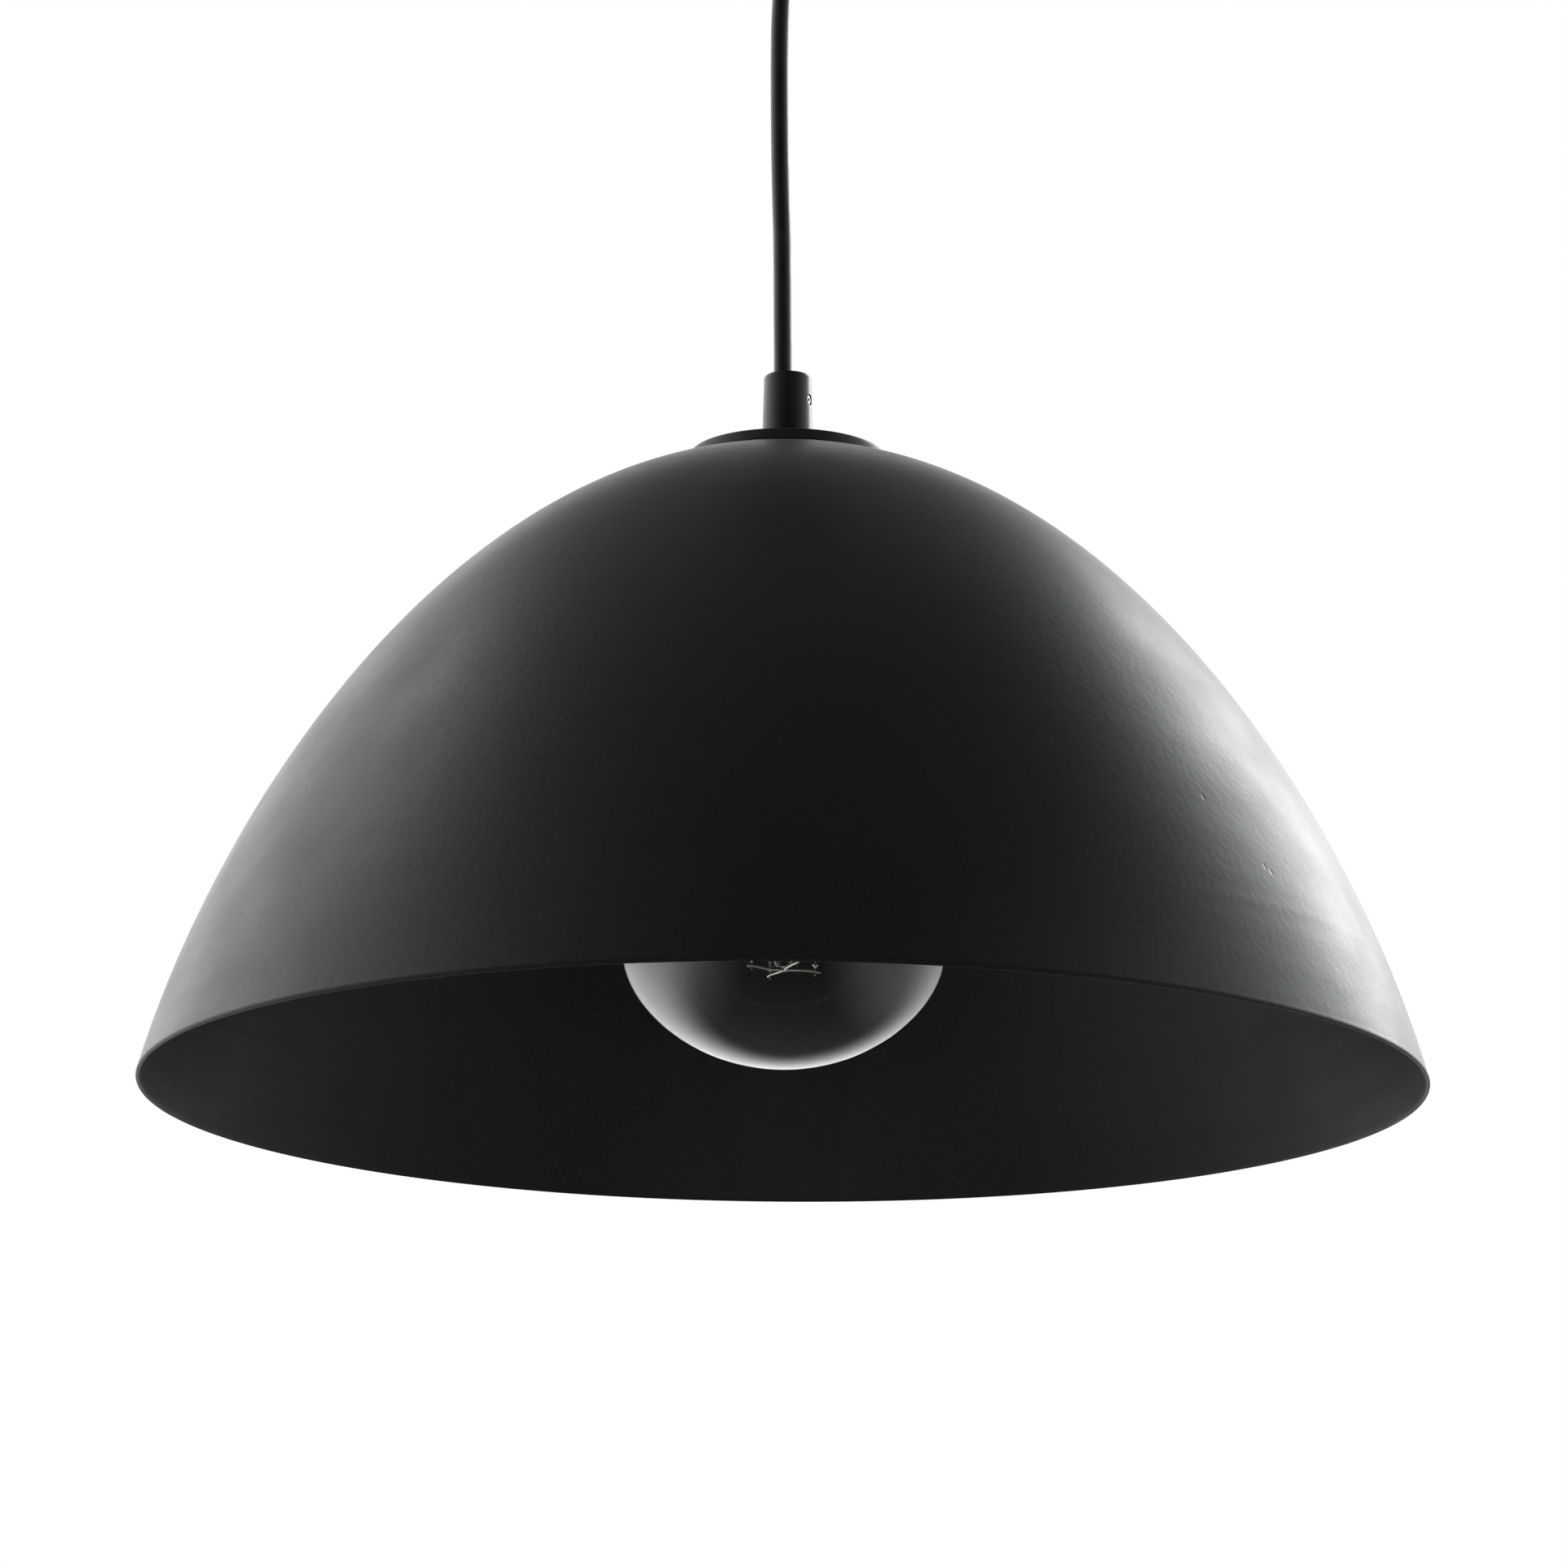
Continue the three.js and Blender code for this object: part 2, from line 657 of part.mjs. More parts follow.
place(hanging, "shade", shade(), POWDER_COAT);
place(hanging, "shade_cap", shadeCap(), POWDER_COAT);
place(hanging, "shade_washer", washer(), ZINC).position.z = shadeWasherBottom;
place(hanging, "shade_nut", hexNut(), ZINC).position.z = shadeNutBottom;
place(hanging, "shade_nipple", nipple(shadeNippleTop - shadeNippleBottom), ZINC).position.z =
  shadeNippleBottom;
place(hanging, "shade_grip", cordGrip(), BLACK_GRIP).position.z = shadeGripBase;
place(hanging, "shade_grip_screw", grubScrew(LOWER_SCREW_TIP), ZINC).position.z = shadeGripBase;

// ---- Lampholder ----

function holderCap() {
  const shoulder = 181;
  const neckRadius = 8.5;
  return turnedRing([
    [HOLDER_RADIUS, SKIRT_TOP + FIT_GAP],
    ...curved([
      [HOLDER_RADIUS, shoulder],
      [HOLDER_RADIUS, shoulder + 7],
      [13, HOLDER_CAP_NECK + 1],
      [neckRadius, HOLDER_CAP_NECK + 2],
    ], 5),
    [neckRadius, HOLDER_CAP_TOP],
    [NIPPLE_HOLE, HOLDER_CAP_TOP],
    [NIPPLE_HOLE, HOLDER_CAP_NECK],
    ...curved([
      [neckRadius - 0.5, HOLDER_CAP_NECK],
      [12.5, HOLDER_CAP_NECK - 1],
      [HOLDER_RADIUS - HOLDER_WALL, shoulder + 5.5],
      [HOLDER_RADIUS - HOLDER_WALL, shoulder],
    ], 4),
    [HOLDER_RADIUS - HOLDER_WALL, SKIRT_TOP + FIT_GAP],
  ]);
}

function holderSkirt() {
  const inner = INSERT_RADIUS + 0.4;
  const lip = 1.6;
  const threadRadius = HOLDER_RADIUS - HOLDER_WALL - 0.4;
  const threadLength = 6;
  return turnedRing([
    [HOLDER_RADIUS - 0.8, SKIRT_BOTTOM],
    [HOLDER_RADIUS, SKIRT_BOTTOM + 0.8],
    [HOLDER_RADIUS, SKIRT_TOP],
    [threadRadius, SKIRT_TOP],
    [threadRadius, SKIRT_TOP + threadLength],
    [inner, SKIRT_TOP + threadLength],
    [inner, SKIRT_BOTTOM + lip + 0.4],
    [inner - lip, SKIRT_BOTTOM + lip],
    [inner - lip, SKIRT_BOTTOM],
  ]);
}

function holderInsert() {
  const bore = SLEEVE_RADIUS + FIT_GAP;
  return turned([
    [0, INSERT_CEILING],
    [bore, INSERT_CEILING],
    [bore, SKIRT_BOTTOM + 5],
    [INSERT_RADIUS, SKIRT_BOTTOM + 5],
    [INSERT_RADIUS, INSERT_TOP],
    [0, INSERT_TOP],
  ]);
}

function holderSleeve() {
  return turnedRing([
    [SLEEVE_RADIUS, SKIRT_BOTTOM + 6],
    [SLEEVE_RADIUS, INSERT_CEILING - 4],
    [SLEEVE_INNER_RADIUS, INSERT_CEILING - 4],
    [SLEEVE_INNER_RADIUS, SKIRT_BOTTOM + 6],
  ]);
}

// A bent brass strip: flat against the insert at one end, sprung down to the lamp's tip at the other.
function centreContact() {
  const top = INSERT_CEILING - FIT_GAP;
  const tip = LAMP_TOP + 0.35;
  const t = 0.5;
  const width = 5;
  return plate([
    [10, top - t],
    [10, top],
    [5, top],
    [1.5, tip + t + 0.2],
    [-1.5, tip + t],
    [-4, tip + t + 0.5],
    [-4, tip + 0.5],
    [-1.5, tip],
    [1.5, tip],
    [5, top - t],
  ].reverse(), width)
    .rotateX(Math.PI / 2)
    .translate(0, width / 2, 0);
}

// The two wire posts are brass blocks that stand on the insert, one to each side of the axis.
const postBase = INSERT_TOP + FIT_GAP;
const postPlace = 9;
const postHalf = 3;
const postHole = postBase + postHalf;

function holderPost(side) {
  const body = box(
    [postPlace - postHalf, -3.5, postBase],
    [postPlace + postHalf, 3.5, postBase + 2 * postHalf],
  );
  const wireHole = rod([postPlace, -5, postHole], [postPlace, 5, postHole], 1.35);
  const screwHole = rod([postPlace, 0, postHole], [postPlace, 0, postBase + 8], 1.55);
  return cut(body, wireHole, screwHole).rotateZ(side > 0 ? 0 : Math.PI);
}

function holderPostScrew(side) {
  const x = postPlace * side;
  const top = postBase + 7;
  const body = rod([x, 0, postBase + 4.6], [x, 0, top], poleScrewRadius, 10);
  const slot = box([x - 2, -0.25, top - 0.7], [x + 2, 0.25, top + 1]);
  return cut(body, slot);
}

place(hanging, "holder_cap", holderCap(), BLACK_PLASTIC);
place(hanging, "holder_skirt", holderSkirt(), BLACK_PLASTIC);
place(hanging, "holder_insert", holderInsert(), CERAMIC);
place(hanging, "holder_sleeve", holderSleeve(), BRASS);
place(hanging, "holder_contact", centreContact(), BRASS);

// The cord's cores again, from the lower grip's bore down through the nipple to the posts. They lie
// to the side that the grub screw presses them to.
for (const [pole, side, material] of [["live", 1, BROWN_PVC], ["neutral", -1, BLUE_PVC]]) {
  place(hanging, `holder_post_${pole}`, holderPost(side), BRASS);
  place(hanging, `holder_post_screw_${pole}`, holderPostScrew(side), ZINC);
  const y = side * CORE_SPACING;
  const core = wire([
    [-1.4, y, shadeGripBase + GRIP_LENGTH - 0.6],
    [-1.4, y, shadeGripBase + 6],
    [-1, y, shadeGripBase - 10],
    [-1, y, shadeNippleBottom + 8],
    [-1, y, shadeNippleBottom + 1],
    [side * 1.5, y * 2.6, shadeNippleBottom - 3],
    [side * 7, side * 5.6, postHole + 0.6],
    [side * postPlace, side * 4.6, postHole],
    [side * postPlace, side * 2.2, postHole],
  ], CORE_RADIUS, 20);
  place(hanging, `holder_core_${pole}`, core, material);
}

// ---- Lamp ----

// The globe's outside from its bottom pole up to the top of the sealed tube.
function globeOutside() {
  const globe = arc([0, GLOBE_MIDDLE], GLOBE_RADIUS, -90, GLOBE_SHOULDER, 14);
  const [endRadius, endHeight] = globe[globe.length - 1];
  return [
    ...globe.slice(0, -1),
    ...curved([
      [endRadius, endHeight],
      [endRadius - 10, endHeight + 7.2],
      [NECK_RADIUS, NECK_TOP - 4],
      [NECK_RADIUS, NECK_TOP],
    ], 4),
    [SEAL_RADIUS + 1.2, NECK_TOP + 3.4],
    [SEAL_RADIUS, NECK_TOP + 4.4],
    [SEAL_RADIUS, SEAL_TOP],
  ];
}

function lampGlass() {
  const outside = globeOutside();
  const inside = offset(outside, GLASS_WALL).reverse();
  inside[inside.length - 1] = [0, GLOBE_BOTTOM + GLASS_WALL];
  inside[0] = [SEAL_RADIUS - GLASS_WALL, SEAL_TOP];
  return turned([...outside, ...inside], 26);
}

function lampShell() {
  const collarBottom = 133.8;
  const threadBottom = 139.6;
  const turns = 5;
  const threadTop = 158;
  const end = 161.2;
  const inner = SEAL_RADIUS + 0.35;
  const thread = [];
  for (let i = 0; i < turns; i += 1) {
    const start = threadBottom + i * THREAD_PITCH;
    thread.push([THREAD_RADIUS - THREAD_DEPTH, start]);
    thread.push([THREAD_RADIUS, start + THREAD_PITCH * 0.4]);
    thread.push([THREAD_RADIUS, start + THREAD_PITCH * 0.6]);
  }
  return turnedRing([
    [inner + 0.5, collarBottom],
    [THREAD_RADIUS, collarBottom + 0.5],
    ...thread,
    [THREAD_RADIUS - THREAD_DEPTH, threadTop],
    [9.2, end],
    [8.6, end],
    [inner - 0.7, threadTop - 0.4],
    [inner - 0.7, SEAL_TOP + 0.6],
    [inner, SEAL_TOP + 0.4],
    [inner, collarBottom],
  ]);
}

const insulatorTop = 164.6;

function lampInsulator() {
  const plug = 7.6;
  const shoulder = 161.5;
  return turned([
    [0, shoulder - 1.3],
    [plug, shoulder - 1.3],
    [plug, shoulder],
    [8.8, shoulder],
    [5.4, insulatorTop],
    [0, insulatorTop],
  ], 20);
}

function lampTip() {
  const base = insulatorTop + FIT_GAP;
  return turned([
    [0, base],
    [4.8, base],
    [4.6, base + 0.8],
    [2.6, LAMP_TOP - 0.1],
    [0, LAMP_TOP],
  ], 16);
}

// The glass stem: a flare sealed into the neck, a pressed waist and a rod with a button at its end.
function lampStem() {
  return turned([
    [0, STEM_BOTTOM],
    [2.2, STEM_BOTTOM + 0.4],
    [2.9, STEM_BOTTOM + 2],
    [2.1, STEM_BOTTOM + 4.5],
    [1.9, STEM_BOTTOM + 10],
    [1.9, STEM_WAIST],
    [2.9, STEM_WAIST + 5],
    [4.2, STEM_WAIST + 11],
    [10.6, STEM_TOP - 1.2],
    [10.6, STEM_TOP],
    [0, STEM_TOP],
  ], 14);
}

function around([distance, height], turn) {
  return [distance * Math.cos(turn), distance * Math.sin(turn), height];
}

function filamentTurn(i) {
  return FILAMENT_TURN + (2 * Math.PI * i) / FILAMENT_COUNT;
}

// Four wires spread like a star under the stem's button, one to each filament.
function lampStar() {
  const hub = rod([0, 0, STEM_BOTTOM - 1.3], [0, 0, STEM_BOTTOM - FIT_GAP], 0.9, 8);
  const arms = Array.from({ length: FILAMENT_COUNT }, (_, i) =>
    wire([
      [0, 0, STEM_BOTTOM - 0.8],
      around([5.5, STEM_BOTTOM - 0.5], filamentTurn(i)),
      around([10, FILAMENT_BOTTOM[1] - 1.9], filamentTurn(i)),
      around([FILAMENT_BOTTOM[0] + 0.05, FILAMENT_BOTTOM[1] - FIT_GAP], filamentTurn(i)),
    ], LEAD_RADIUS, 5, 6),
  );
  return join(hub, ...arms);
}

// A lead beside the stem that feeds two neighbouring filaments.
function lampLead(first) {
  const [start, end] = [filamentTurn(first), filamentTurn(first + 1)];
  const [distance, height] = FILAMENT_TOP;
  const top = height + FIT_GAP;
  return wire([
    around([distance - 0.05, top], start),
    around([distance - 0.4, top + 2.5], start),
    around([4.1, top + 5], (start + end) / 2),
    around([distance - 0.4, top + 2.5], end),
    around([distance - 0.05, top], end),
  ], LEAD_RADIUS, 10, 6);
}

place(hanging, "lamp_glass", lampGlass(), CLEAR_GLASS);
place(hanging, "lamp_shell", lampShell(), NICKEL);
place(hanging, "lamp_insulator", lampInsulator(), BLACK_GLASS);
place(hanging, "lamp_tip", lampTip(), NICKEL);
place(hanging, "lamp_stem", lampStem(), CLEAR_GLASS);
place(hanging, "lamp_star", lampStar(), NICKEL);
place(hanging, "lamp_lead_1", lampLead(0), NICKEL);
place(hanging, "lamp_lead_2", lampLead(2), NICKEL);
for (let i = 0; i < FILAMENT_COUNT; i += 1) {
  const bottom = around(FILAMENT_BOTTOM, filamentTurn(i));
  const top = around(FILAMENT_TOP, filamentTurn(i));
  place(hanging, `lamp_filament_${i + 1}`, rod(bottom, top, FILAMENT_RADIUS, 8), PHOSPHOR);
}

export default pendant;
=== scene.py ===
import math

import bmesh
import bpy
import numpy as np
from mathutils import Matrix, Vector


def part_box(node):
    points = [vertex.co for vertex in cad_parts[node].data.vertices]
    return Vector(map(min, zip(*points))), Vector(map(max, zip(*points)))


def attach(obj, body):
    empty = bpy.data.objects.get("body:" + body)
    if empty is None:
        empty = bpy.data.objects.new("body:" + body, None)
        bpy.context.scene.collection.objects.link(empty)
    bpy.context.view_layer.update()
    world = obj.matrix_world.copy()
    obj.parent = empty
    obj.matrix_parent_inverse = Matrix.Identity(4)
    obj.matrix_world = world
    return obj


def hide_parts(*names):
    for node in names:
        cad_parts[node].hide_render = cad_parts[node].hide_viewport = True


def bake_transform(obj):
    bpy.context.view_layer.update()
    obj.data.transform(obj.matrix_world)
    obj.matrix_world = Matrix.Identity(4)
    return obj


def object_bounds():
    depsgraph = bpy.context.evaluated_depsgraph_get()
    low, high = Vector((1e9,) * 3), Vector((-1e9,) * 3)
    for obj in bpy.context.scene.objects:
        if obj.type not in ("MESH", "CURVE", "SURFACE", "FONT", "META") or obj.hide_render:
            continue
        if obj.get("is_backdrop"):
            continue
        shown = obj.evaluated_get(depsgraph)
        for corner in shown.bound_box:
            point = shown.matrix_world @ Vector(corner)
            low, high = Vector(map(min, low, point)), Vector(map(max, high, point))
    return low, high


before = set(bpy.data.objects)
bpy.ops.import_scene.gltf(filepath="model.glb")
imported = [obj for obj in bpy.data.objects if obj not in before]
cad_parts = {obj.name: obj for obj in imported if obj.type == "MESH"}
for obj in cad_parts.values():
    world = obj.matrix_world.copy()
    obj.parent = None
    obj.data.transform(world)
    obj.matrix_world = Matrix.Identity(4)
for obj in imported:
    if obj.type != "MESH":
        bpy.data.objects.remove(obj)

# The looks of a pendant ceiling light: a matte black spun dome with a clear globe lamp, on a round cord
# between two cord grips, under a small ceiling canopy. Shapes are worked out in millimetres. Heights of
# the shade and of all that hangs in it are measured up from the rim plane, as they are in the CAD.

scene = bpy.context.scene
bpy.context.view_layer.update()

MM = 0.001
RIM_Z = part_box("shade")[0].z / MM  # the rim plane in the frame
EXIT_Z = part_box("canopy_grip")[0].z / MM  # where the cord leaves the canopy's grip
CANOPY_LOW, CANOPY_HIGH = (corner.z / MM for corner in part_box("canopy"))
SHADE_GRIP_LOW, SHADE_GRIP_HIGH = (corner.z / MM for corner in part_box("shade_grip"))

# ---- Node and placing helpers ----


def calculated(tree, operation, *values):
    """A maths node on outputs of other nodes, or on numbers."""
    node = tree.nodes.new("ShaderNodeMath")
    node.operation = operation
    for socket, value in zip(node.inputs, values):
        if isinstance(value, (int, float)):
            socket.default_value = value
        else:
            tree.links.new(value, socket)
    return node.outputs["Value"]


def spread(tree, value, start, end, low, high, interpolation="LINEAR"):
    """Runs from low to high while the value goes from start to end, and stays there beyond."""
    node = tree.nodes.new("ShaderNodeMapRange")
    node.interpolation_type = interpolation
    tree.links.new(value, node.inputs["Value"])
    for socket, number in (("From Min", start), ("From Max", end), ("To Min", low), ("To Max", high)):
        node.inputs[socket].default_value = number
    return node.outputs["Result"]


def shift(x, y, z):
    """A move, in mm."""
    return Matrix.Translation(Vector((x, y, z)) * MM)


ALONG_X = Matrix.Rotation(math.pi / 2, 4, "Y")  # lays a standing shape down along X
Y_TO_Z = Matrix.Rotation(math.pi / 2, 4, "X")  # stands a flat outline up
FROM_RIM = shift(0, 0, RIM_Z)

# ---- Camera, light and floor ----

CAMERA_BACK = 1900  # mm from the shade's axis
CAMERA_BELOW_RIM = 358.5
CAMERA_ASIDE = -0.25
CAMERA_LENS = 143.0
CAMERA_PITCH = math.radians(13.53)
CAMERA_ROLL = math.radians(-0.413)
FLOOR_Z = -1.25  # in metres
BACKDROP_LIGHT = 2.2
FRONT_LIGHT = 1.5
SIDE_LIGHT = 0.42


def make_camera():
    data = bpy.data.cameras.new("camera")
    data.sensor_width = 36
    data.lens = CAMERA_LENS
    data.clip_start = 0.05
    data.clip_end = 50
    camera = bpy.data.objects.new("camera", data)
    scene.collection.objects.link(camera)
    ahead = Vector((0, math.cos(CAMERA_PITCH), math.sin(CAMERA_PITCH)))
    above = Vector((0, -math.sin(CAMERA_PITCH), math.cos(CAMERA_PITCH)))
    level = Vector((1, 0, 0))
    turn, lean = math.cos(CAMERA_ROLL), math.sin(CAMERA_ROLL)
    right = turn * level - lean * above
    up = lean * level + turn * above
    axes = Matrix((right, up, -ahead)).transposed().to_4x4()
    camera.matrix_world = shift(CAMERA_ASIDE, -CAMERA_BACK, RIM_Z - CAMERA_BELOW_RIM) @ axes
    scene.camera = camera


def make_world():
    """A wide bright backdrop that fades towards the camera, overhead and underneath, with weak lights low
    at the front and sides; the camera itself sees white."""
    world = bpy.data.worlds.new("studio")
    world.use_nodes = True
    tree = world.node_tree
    tree.nodes.clear()

    def faded(value, start, end, low, high):
        return spread(tree, value, start, end, low, high, "SMOOTHSTEP")

    def product(first, *others):
        for other in others:
            first = calculated(tree, "MULTIPLY", first, other)
        return first

    where = tree.nodes.new("ShaderNodeTexCoord")
    split = tree.nodes.new("ShaderNodeSeparateXYZ")
    tree.links.new(where.outputs["Generated"], split.inputs["Vector"])
    x, y, z = split.outputs
    # The backdrop reaches lower on the left, by 0.4 of the way out to that side.
    lowness = calculated(tree, "MULTIPLY_ADD", calculated(tree, "MINIMUM", x, 0.0), -0.4, z)
    backdrop = product(
        faded(y, -1.0, 0.65, 0.03, BACKDROP_LIGHT), faded(x, -0.7, 0.7, 1.1, 0.72),
        faded(z, 0.45, 0.7, 1.0, 0.12), faded(z, -0.1, 0.15, 0.52, 1.0),
        faded(lowness, -0.6, -0.2, 0.08, 1.0),
    )
    front = faded(y, -0.95, -0.75, FRONT_LIGHT, 0.0)
    sides = faded(calculated(tree, "ABSOLUTE", x), 0.3, 0.8, 0.0, SIDE_LIGHT)
    low_light = product(calculated(tree, "ADD", front, sides), faded(z, -0.3, -0.05, 1.0, 0.0))
    room = tree.nodes.new("ShaderNodeBackground")
    tree.links.new(calculated(tree, "ADD", backdrop, low_light), room.inputs["Strength"])
    seen = tree.nodes.new("ShaderNodeBackground")
    for background in (room, seen):
        background.inputs["Color"].default_value = (1, 1, 1, 1)
    path = tree.nodes.new("ShaderNodeLightPath")
    mix = tree.nodes.new("ShaderNodeMixShader")
    tree.links.new(path.outputs["Is Camera Ray"], mix.inputs["Fac"])
    tree.links.new(room.outputs["Background"], mix.inputs[1])
    tree.links.new(seen.outputs["Background"], mix.inputs[2])
    output = tree.nodes.new("ShaderNodeOutputWorld")
    tree.links.new(mix.outputs["Shader"], output.inputs["Surface"])
    scene.world = world


def make_panel(name, place, target, size, power):
    """A soft rectangular studio light that faces the target."""
    data = bpy.data.lights.new(name, "AREA")
    data.shape = "RECTANGLE"
    data.size, data.size_y = size
    data.energy = power
    light = bpy.data.objects.new(name, data)
    light.location = place
    light.rotation_mode = "QUATERNION"
    light.rotation_quaternion = (Vector(target) - Vector(place)).to_track_quat("-Z", "Y")
    scene.collection.objects.link(light)


def make_floor():
    """A plain pale floor, which doesn't light the shade or show in the lamp."""
    half = 14
    corners = [(x, y, FLOOR_Z) for x, y in ((-half, -half), (half, -half), (half, half), (-half, half))]
    mesh = bpy.data.meshes.new("floor")
    mesh.from_pydata(corners, [], [(0, 1, 2, 3)])
    floor = bpy.data.objects.new("floor", mesh)
    scene.collection.objects.link(floor)
    material = bpy.data.materials.new("floor")
    material.use_nodes = True
    shader = material.node_tree.nodes["Principled BSDF"]
    shader.inputs["Base Color"].default_value = (0.55, 0.55, 0.55, 1)
    shader.inputs["Roughness"].default_value = 0.9
    mesh.materials.append(material)
    floor.visible_diffuse = False
    floor.visible_glossy = False
    floor.visible_transmission = False
    floor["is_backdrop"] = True


scene.view_settings.view_transform = "Standard"
make_camera()
make_world()
make_floor()
middle = (0, 0, (RIM_Z + 100) * MM)
make_panel("panel_right", (1.27, 1.36, 0.68), middle, (0.7, 1.0), 18)
make_panel("panel_left", (-1.6, 0.8, 1.4), middle, (1.2, 0.5), 5)

# ---- Mesh helpers ----


def new_object(name, mesh):
    piece = bpy.data.objects.new(name, mesh)
    scene.collection.objects.link(piece)
    return piece


def shade_smooth(mesh, sharp_degrees=34):
    """Smooth shading, with a sharp edge wherever two faces meet at more than the given angle."""
    work = bmesh.new()
    work.from_mesh(mesh)
    bmesh.ops.recalc_face_normals(work, faces=work.faces)
    limit = math.radians(sharp_degrees)
    for face in work.faces:
        face.smooth = True
    for edge in work.edges:
        if len(edge.link_faces) == 2:
            edge.smooth = edge.calc_face_angle(0) < limit
    work.to_mesh(mesh)
    work.free()


def turned(name, profile, base=0.0, segments=96, ring=True, radius_at=None):
    """A body of revolution about Z from [radius, height] points in mm. A ring closes on itself; the
    others start and end on the axis. radius_at(radius, height, angle) may reshape the radius."""
    vertices, rings = [], []
    for radius, height in profile:
        if radius < 1e-6:
            rings.append([len(vertices)])
            vertices.append((0, 0, (base + height) * MM))
            continue
        rings.append(list(range(len(vertices), len(vertices) + segments)))
        for i in range(segments):
            angle = 2 * math.pi * i / segments
            size = radius_at(radius, height, angle) if radius_at else radius
            x, y = size * math.cos(angle), size * math.sin(angle)
            vertices.append((x * MM, y * MM, (base + height) * MM))
    faces = []
    count = len(rings)
    for i in range(count if ring else count - 1):
        low, high = rings[i], rings[(i + 1) % count]
        for j in range(segments):
            k = (j + 1) % segments
            corners = (low[j % len(low)], low[k % len(low)], high[k % len(high)], high[j % len(high)])
            kept = list(dict.fromkeys(corners))
            if len(kept) >= 3:
                faces.append(kept)
    mesh = bpy.data.meshes.new(name)
    mesh.from_pydata(vertices, [], faces)
    shade_smooth(mesh)
    return new_object(name, mesh)


def arc(centre, size, start, end, steps):
    """Points of an arc in a profile, angles in degrees."""
    angles = np.radians(np.linspace(start, end, steps + 1))
    return [(centre[0] + size * math.cos(a), centre[1] + size * math.sin(a)) for a in angles]


def curved(controls, steps):
    """Points of a cubic curve in a profile."""
    a, b, c, d = (np.array(point, float) for point in controls)
    return [
        tuple((1 - t) ** 3 * a + 3 * (1 - t) ** 2 * t * b + 3 * (1 - t) * t * t * c + t**3 * d)
        for t in np.linspace(0, 1, steps + 1)
    ]


def offset(profile, distance):
    """An open profile moved sideways, to the left of its direction."""
    points = np.array(profile, float)
    along = np.gradient(points, axis=0)
    along /= np.linalg.norm(along, axis=1)[:, None]
    points += distance * np.stack([-along[:, 1], along[:, 0]], 1)
    points[:, 0] = np.maximum(points[:, 0], 0)
    return [tuple(point) for point in points]


def rounded(profile, size, ring=True):
    """A profile with each corner rounded, by no more than 0.45 of the sides that meet there."""
    points = [np.array(point, float) for point in profile]
    made = []
    count = len(points)
    for i, point in enumerate(points):
        if not ring and i in (0, count - 1):
            made.append(tuple(point))
            continue
        before, after = points[i - 1] - point, points[(i + 1) % count] - point
        reach = min(size, 0.45 * np.linalg.norm(before), 0.45 * np.linalg.norm(after))
        start = point + before / np.linalg.norm(before) * reach
        end = point + after / np.linalg.norm(after) * reach
        for t in np.linspace(0, 1, 5):
            made.append(tuple((1 - t) ** 2 * start + 2 * (1 - t) * t * point + t * t * end))
    return made


def finely(start, end, step):
    """Points along a straight side of a profile, no more than step apart, both ends included."""
    start, end = np.array(start, float), np.array(end, float)
    count = max(1, math.ceil(np.linalg.norm(end - start) / step))
    return [tuple(start + (end - start) * i / count) for i in range(count + 1)]


def smooth_line(points, step):
    """A smooth line through the points in mm, about step apart (a centripetal Catmull-Rom curve)."""
    points = [np.array(point, float) for point in points]
    points = [2 * points[0] - points[1], *points, 2 * points[-1] - points[-2]]
    line = []
    for four in zip(points, points[1:], points[2:], points[3:]):
        p0, p1, p2, p3 = four
        gaps = [math.sqrt(np.linalg.norm(b - a)) for a, b in zip(four, four[1:])]
        t0, t1, t2, t3 = np.cumsum([0] + gaps)
        count = max(1, round(np.linalg.norm(p2 - p1) / step))
        for t in np.linspace(t1, t2, count, endpoint=False):
            a1 = (t1 - t) / (t1 - t0) * p0 + (t - t0) / (t1 - t0) * p1
            a2 = (t2 - t) / (t2 - t1) * p1 + (t - t1) / (t2 - t1) * p2
            a3 = (t3 - t) / (t3 - t2) * p2 + (t - t2) / (t3 - t2) * p3
            b1 = (t2 - t) / (t2 - t0) * a1 + (t - t0) / (t2 - t0) * a2
            b2 = (t3 - t) / (t3 - t1) * a2 + (t - t1) / (t3 - t1) * a3
            line.append((t2 - t) / (t2 - t1) * b1 + (t - t1) / (t2 - t1) * b2)
    line.append(points[-2])
    return line


def tube(name, line, radius, sides, first=0, last=None):
    """A round tube with closed ends along a line in mm, or along the stretch of it from first to last."""
    line = [np.array(point, float) for point in line]
    across = None
    rings = []
    for i, point in enumerate(line):
        ahead = line[min(i + 1, len(line) - 1)] - line[max(i - 1, 0)]
        ahead /= np.linalg.norm(ahead)
        if across is None:
            across = np.cross(ahead, (0, 1, 0) if abs(ahead[1]) < 0.9 else (1, 0, 0))
        across = across - ahead * (across @ ahead)
        across /= np.linalg.norm(across)
        side = np.cross(ahead, across)
        angles = 2 * np.pi * np.arange(sides) / sides
        rings.append(point + radius * (np.outer(np.cos(angles), across) + np.outer(np.sin(angles), side)))
    rings = rings[first : len(line) if last is None else last + 1]
    faces = []
    for i in range(len(rings) - 1):
        for j in range(sides):
            k = (j + 1) % sides
            low, high = i * sides, (i + 1) * sides
            faces.append((low + j, low + k, high + k, high + j))
    faces.append(tuple(range(sides))[::-1])
    faces.append(tuple((len(rings) - 1) * sides + j for j in range(sides)))
    mesh = bpy.data.meshes.new(name)
    mesh.from_pydata([tuple(spot * MM) for ring in rings for spot in ring], [], faces)
    shade_smooth(mesh, 50)
    return new_object(name, mesh)


